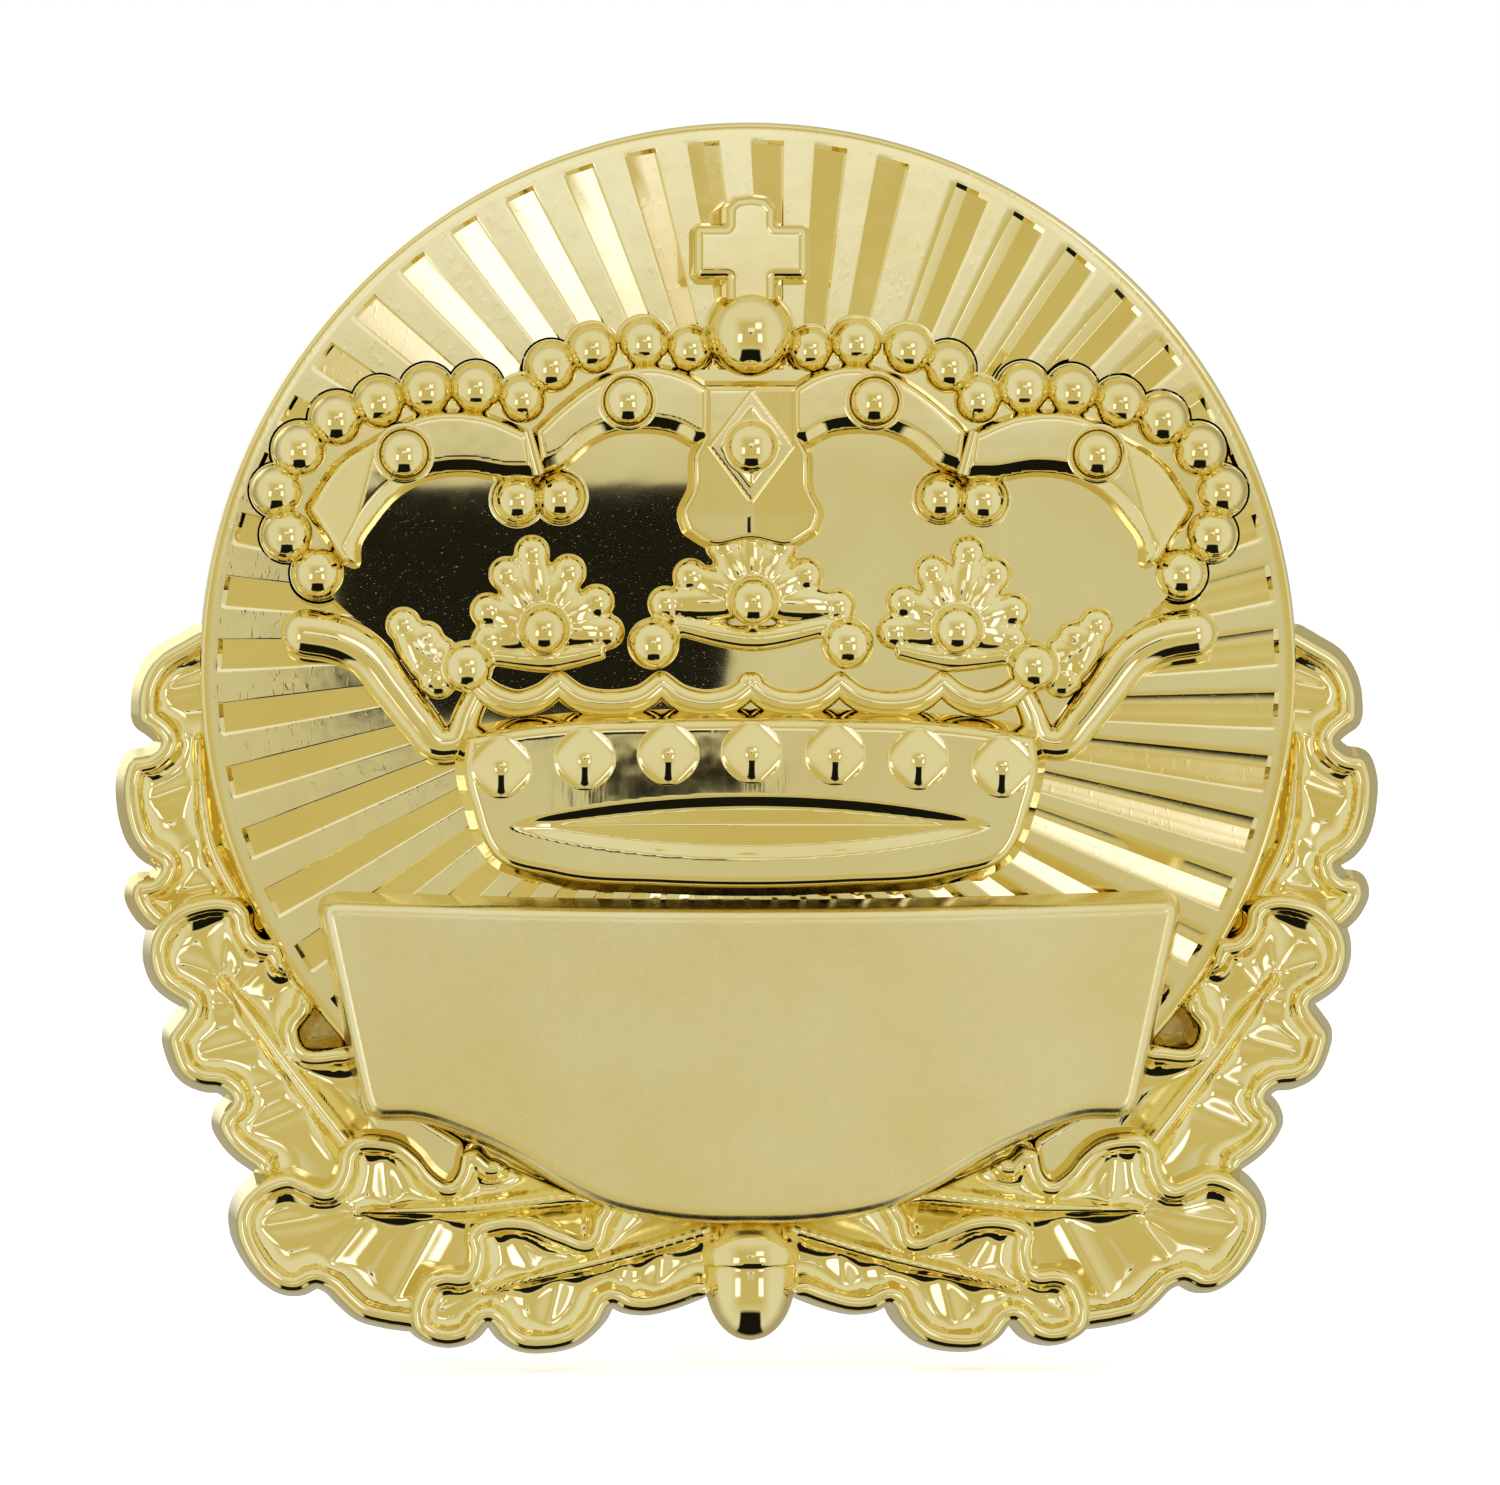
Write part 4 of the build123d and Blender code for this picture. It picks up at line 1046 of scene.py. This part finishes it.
def fleuron(x, y, lobes, base):
    # Lobes, each joined to the bead by a lower neck, over a bar along the foot.
    group = []
    for across, up in lobes:
        length = math.hypot(across, up)
        bearing = math.degrees(math.atan2(up, across))
        group.append(ball((x + across, y + up, fieldFront + 0.05), fleuronShape["lobe"], 0, 24, 16))
        group.append(ball((x + across / 2, y + up / 2, fieldFront + 0.1),
                          (length / 2 + 0.3, *fleuronShape["neck"]), bearing, 24, 16))
    group.append(ball((x, y, fieldFront + 0.75), fleuronShape["bead"]))
    group.append(tube("foot", [(x + a, y + b, fieldFront + 0.2) for a, b in smoothLine(base)],
                      fleuronShape["foot"], 6))
    return group


fleuronParts = fleuron(**fleuronShape["middle"])
leftPieces = fleuron(**fleuronShape["side"]) + fleuron(**fleuronShape["half"])
bpy.data.objects.remove(leftPieces.pop(-2))         # a half fleuron has no bead of its own
for x, y in fleuronShape["loosePlaces"]:
    leftPieces.append(ball((x, y, fieldFront + 0.35), fleuronShape["looseBead"]))
fleuronParts += leftPieces + [mirrorCopy(piece, piece.name + "R") for piece in leftPieces]
for piece in fleuronParts:
    for vertex in piece.data.vertices:
        vertex.co.z = max(vertex.co.z, fieldFront - 0.05)
fleurons = joined(fleuronParts, "brimFleurons")
remesh = fleurons.modifiers.new("remesh", "REMESH")
remesh.mode = "VOXEL"
remesh.voxel_size = fleuronShape["grain"]
smooth = fleurons.modifiers.new("soften", "SMOOTH")
smooth.iterations = fleuronShape["soft"]
applyAll(fleurons)
setOnBadge(fleurons, polishedGilt, ["brim_fleurons"], crease=60)
print("crown ready")


# The fixings: threaded posts, washers and knurled thumb nuts.
fixing = {"headRadius": 2.6, "headFoot": 0.4, "headTop": 1.0, "neck": 1.6, "shank": 1.5,
          "shankEnd": 2.5, "relief": 1.15, "threadStart": 2.8, "threadStep": 0.05, "tip": 12.0,
          "crest": 1.47, "root": 1.2, "chamfer": 0.1, "flank": 2.4, "pitch": 0.5, "bore": 1.53,
          "nut": 3.6, "collar": 2.5, "collarLength": 0.8, "flutes": 24, "flute": 0.28,
          "fluteSteps": 14, "edge": 0.12, "washerBore": 1.65, "washer": 3.2, "washerEdge": 0.14}


def circle(radius, count=96):
    return [(radius * math.cos(math.tau * k / count), radius * math.sin(math.tau * k / count))
            for k in range(count)]


def knurledEdge():
    # A circle with round flutes cut into it.
    line = []
    steps = fixing["flutes"] * fixing["fluteSteps"]
    for k in range(steps):
        angle = math.tau * k / steps
        fluteTurn = math.tau / fixing["flutes"]
        fromFlute = abs((angle / fluteTurn + 0.5) % 1 - 0.5) * fluteTurn
        cut = math.sqrt(max(0, fixing["flute"] ** 2 - (fromFlute * fixing["nut"]) ** 2))
        line.append(((fixing["nut"] - cut) * math.cos(angle),
                     (fixing["nut"] - cut) * math.sin(angle)))
    return line


shank, start, tip = fixing["shank"], fixing["threadStart"], fixing["tip"]
tipRadius = fixing["root"] - fixing["chamfer"]
postProfile = [(0, fixing["headTop"]), (fixing["headRadius"], fixing["headTop"]),
               (fixing["headRadius"], fixing["headFoot"]), (fixing["neck"], fixing["headFoot"]),
               (fixing["neck"], 0.02), (shank, 0), (shank, -fixing["shankEnd"]),
               (fixing["relief"], -fixing["shankEnd"] - 0.04), (fixing["relief"], -start)]
postProfile += [(fixing["crest"], -y) for y in np.arange(start + 0.05, tip - 0.03,
                                                         fixing["threadStep"])]
postProfile += [(tipRadius, -tip), (0, -tip)]
for name in ("left", "right"):
    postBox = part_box("screw_post_" + name)
    across = (postBox[0][0] + postBox[1][0]) / 2 / mm
    post = turned("screwPost", postProfile, steps=40)
    for vertex in post.data.vertices:               # the thread, as a helix of crests and roots
        depth = -vertex.co.z
        if start + 0.01 < depth < tip - 0.01 and vertex.co.xy.length > 1:
            turn = (depth / fixing["pitch"] - math.atan2(vertex.co.y, vertex.co.x) / math.tau) % 1
            rise = min(1, fixing["flank"] * min(turn, 1 - turn))
            radius = fixing["root"] + (fixing["crest"] - fixing["root"]) * rise
            vertex.co.xy = vertex.co.xy.normalized() * min(radius, tipRadius + (tip - depth))
    post.location.x = across
    setOnBadge(post, turnedBrass, ["screw_post_" + name], crease=35)
    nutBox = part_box("thumb_nut_" + name)
    near, far = -nutBox[0][1] / mm, -nutBox[1][1] / mm
    collar = slab("collar", circle(fixing["collar"]), near - fixing["collarLength"], near, 0.1, 3,
                  [circle(fixing["bore"])])
    grip = slab("grip", knurledEdge(), far, near - fixing["collarLength"], fixing["edge"], 3,
                [circle(fixing["bore"])])
    nut = joined([grip, collar], "thumbNut")
    nut.location.x = across
    setOnBadge(nut, turnedBrass, ["thumb_nut_" + name], "thumb_nut_" + name, 30)
    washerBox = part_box("washer_" + name)
    washer = slab("washer", circle(fixing["washer"]), -washerBox[1][1] / mm, -washerBox[0][1] / mm,
                  fixing["washerEdge"], 3, [circle(fixing["washerBore"])])
    washer.location.x = across
    setOnBadge(washer, stampedZinc, ["washer_" + name], "washer_" + name, 30)
print("fixings ready")


# The nodes that keep their own shape, and what each is finished in.
kept = {"crown_field": mirrorGilt, "back_plate": backGilt, "layer_pins": backGilt}
for node, material in kept.items():
    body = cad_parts[node]
    if body.material_slots:
        body.material_slots[0].material = material
    else:
        body.data.materials.append(material)
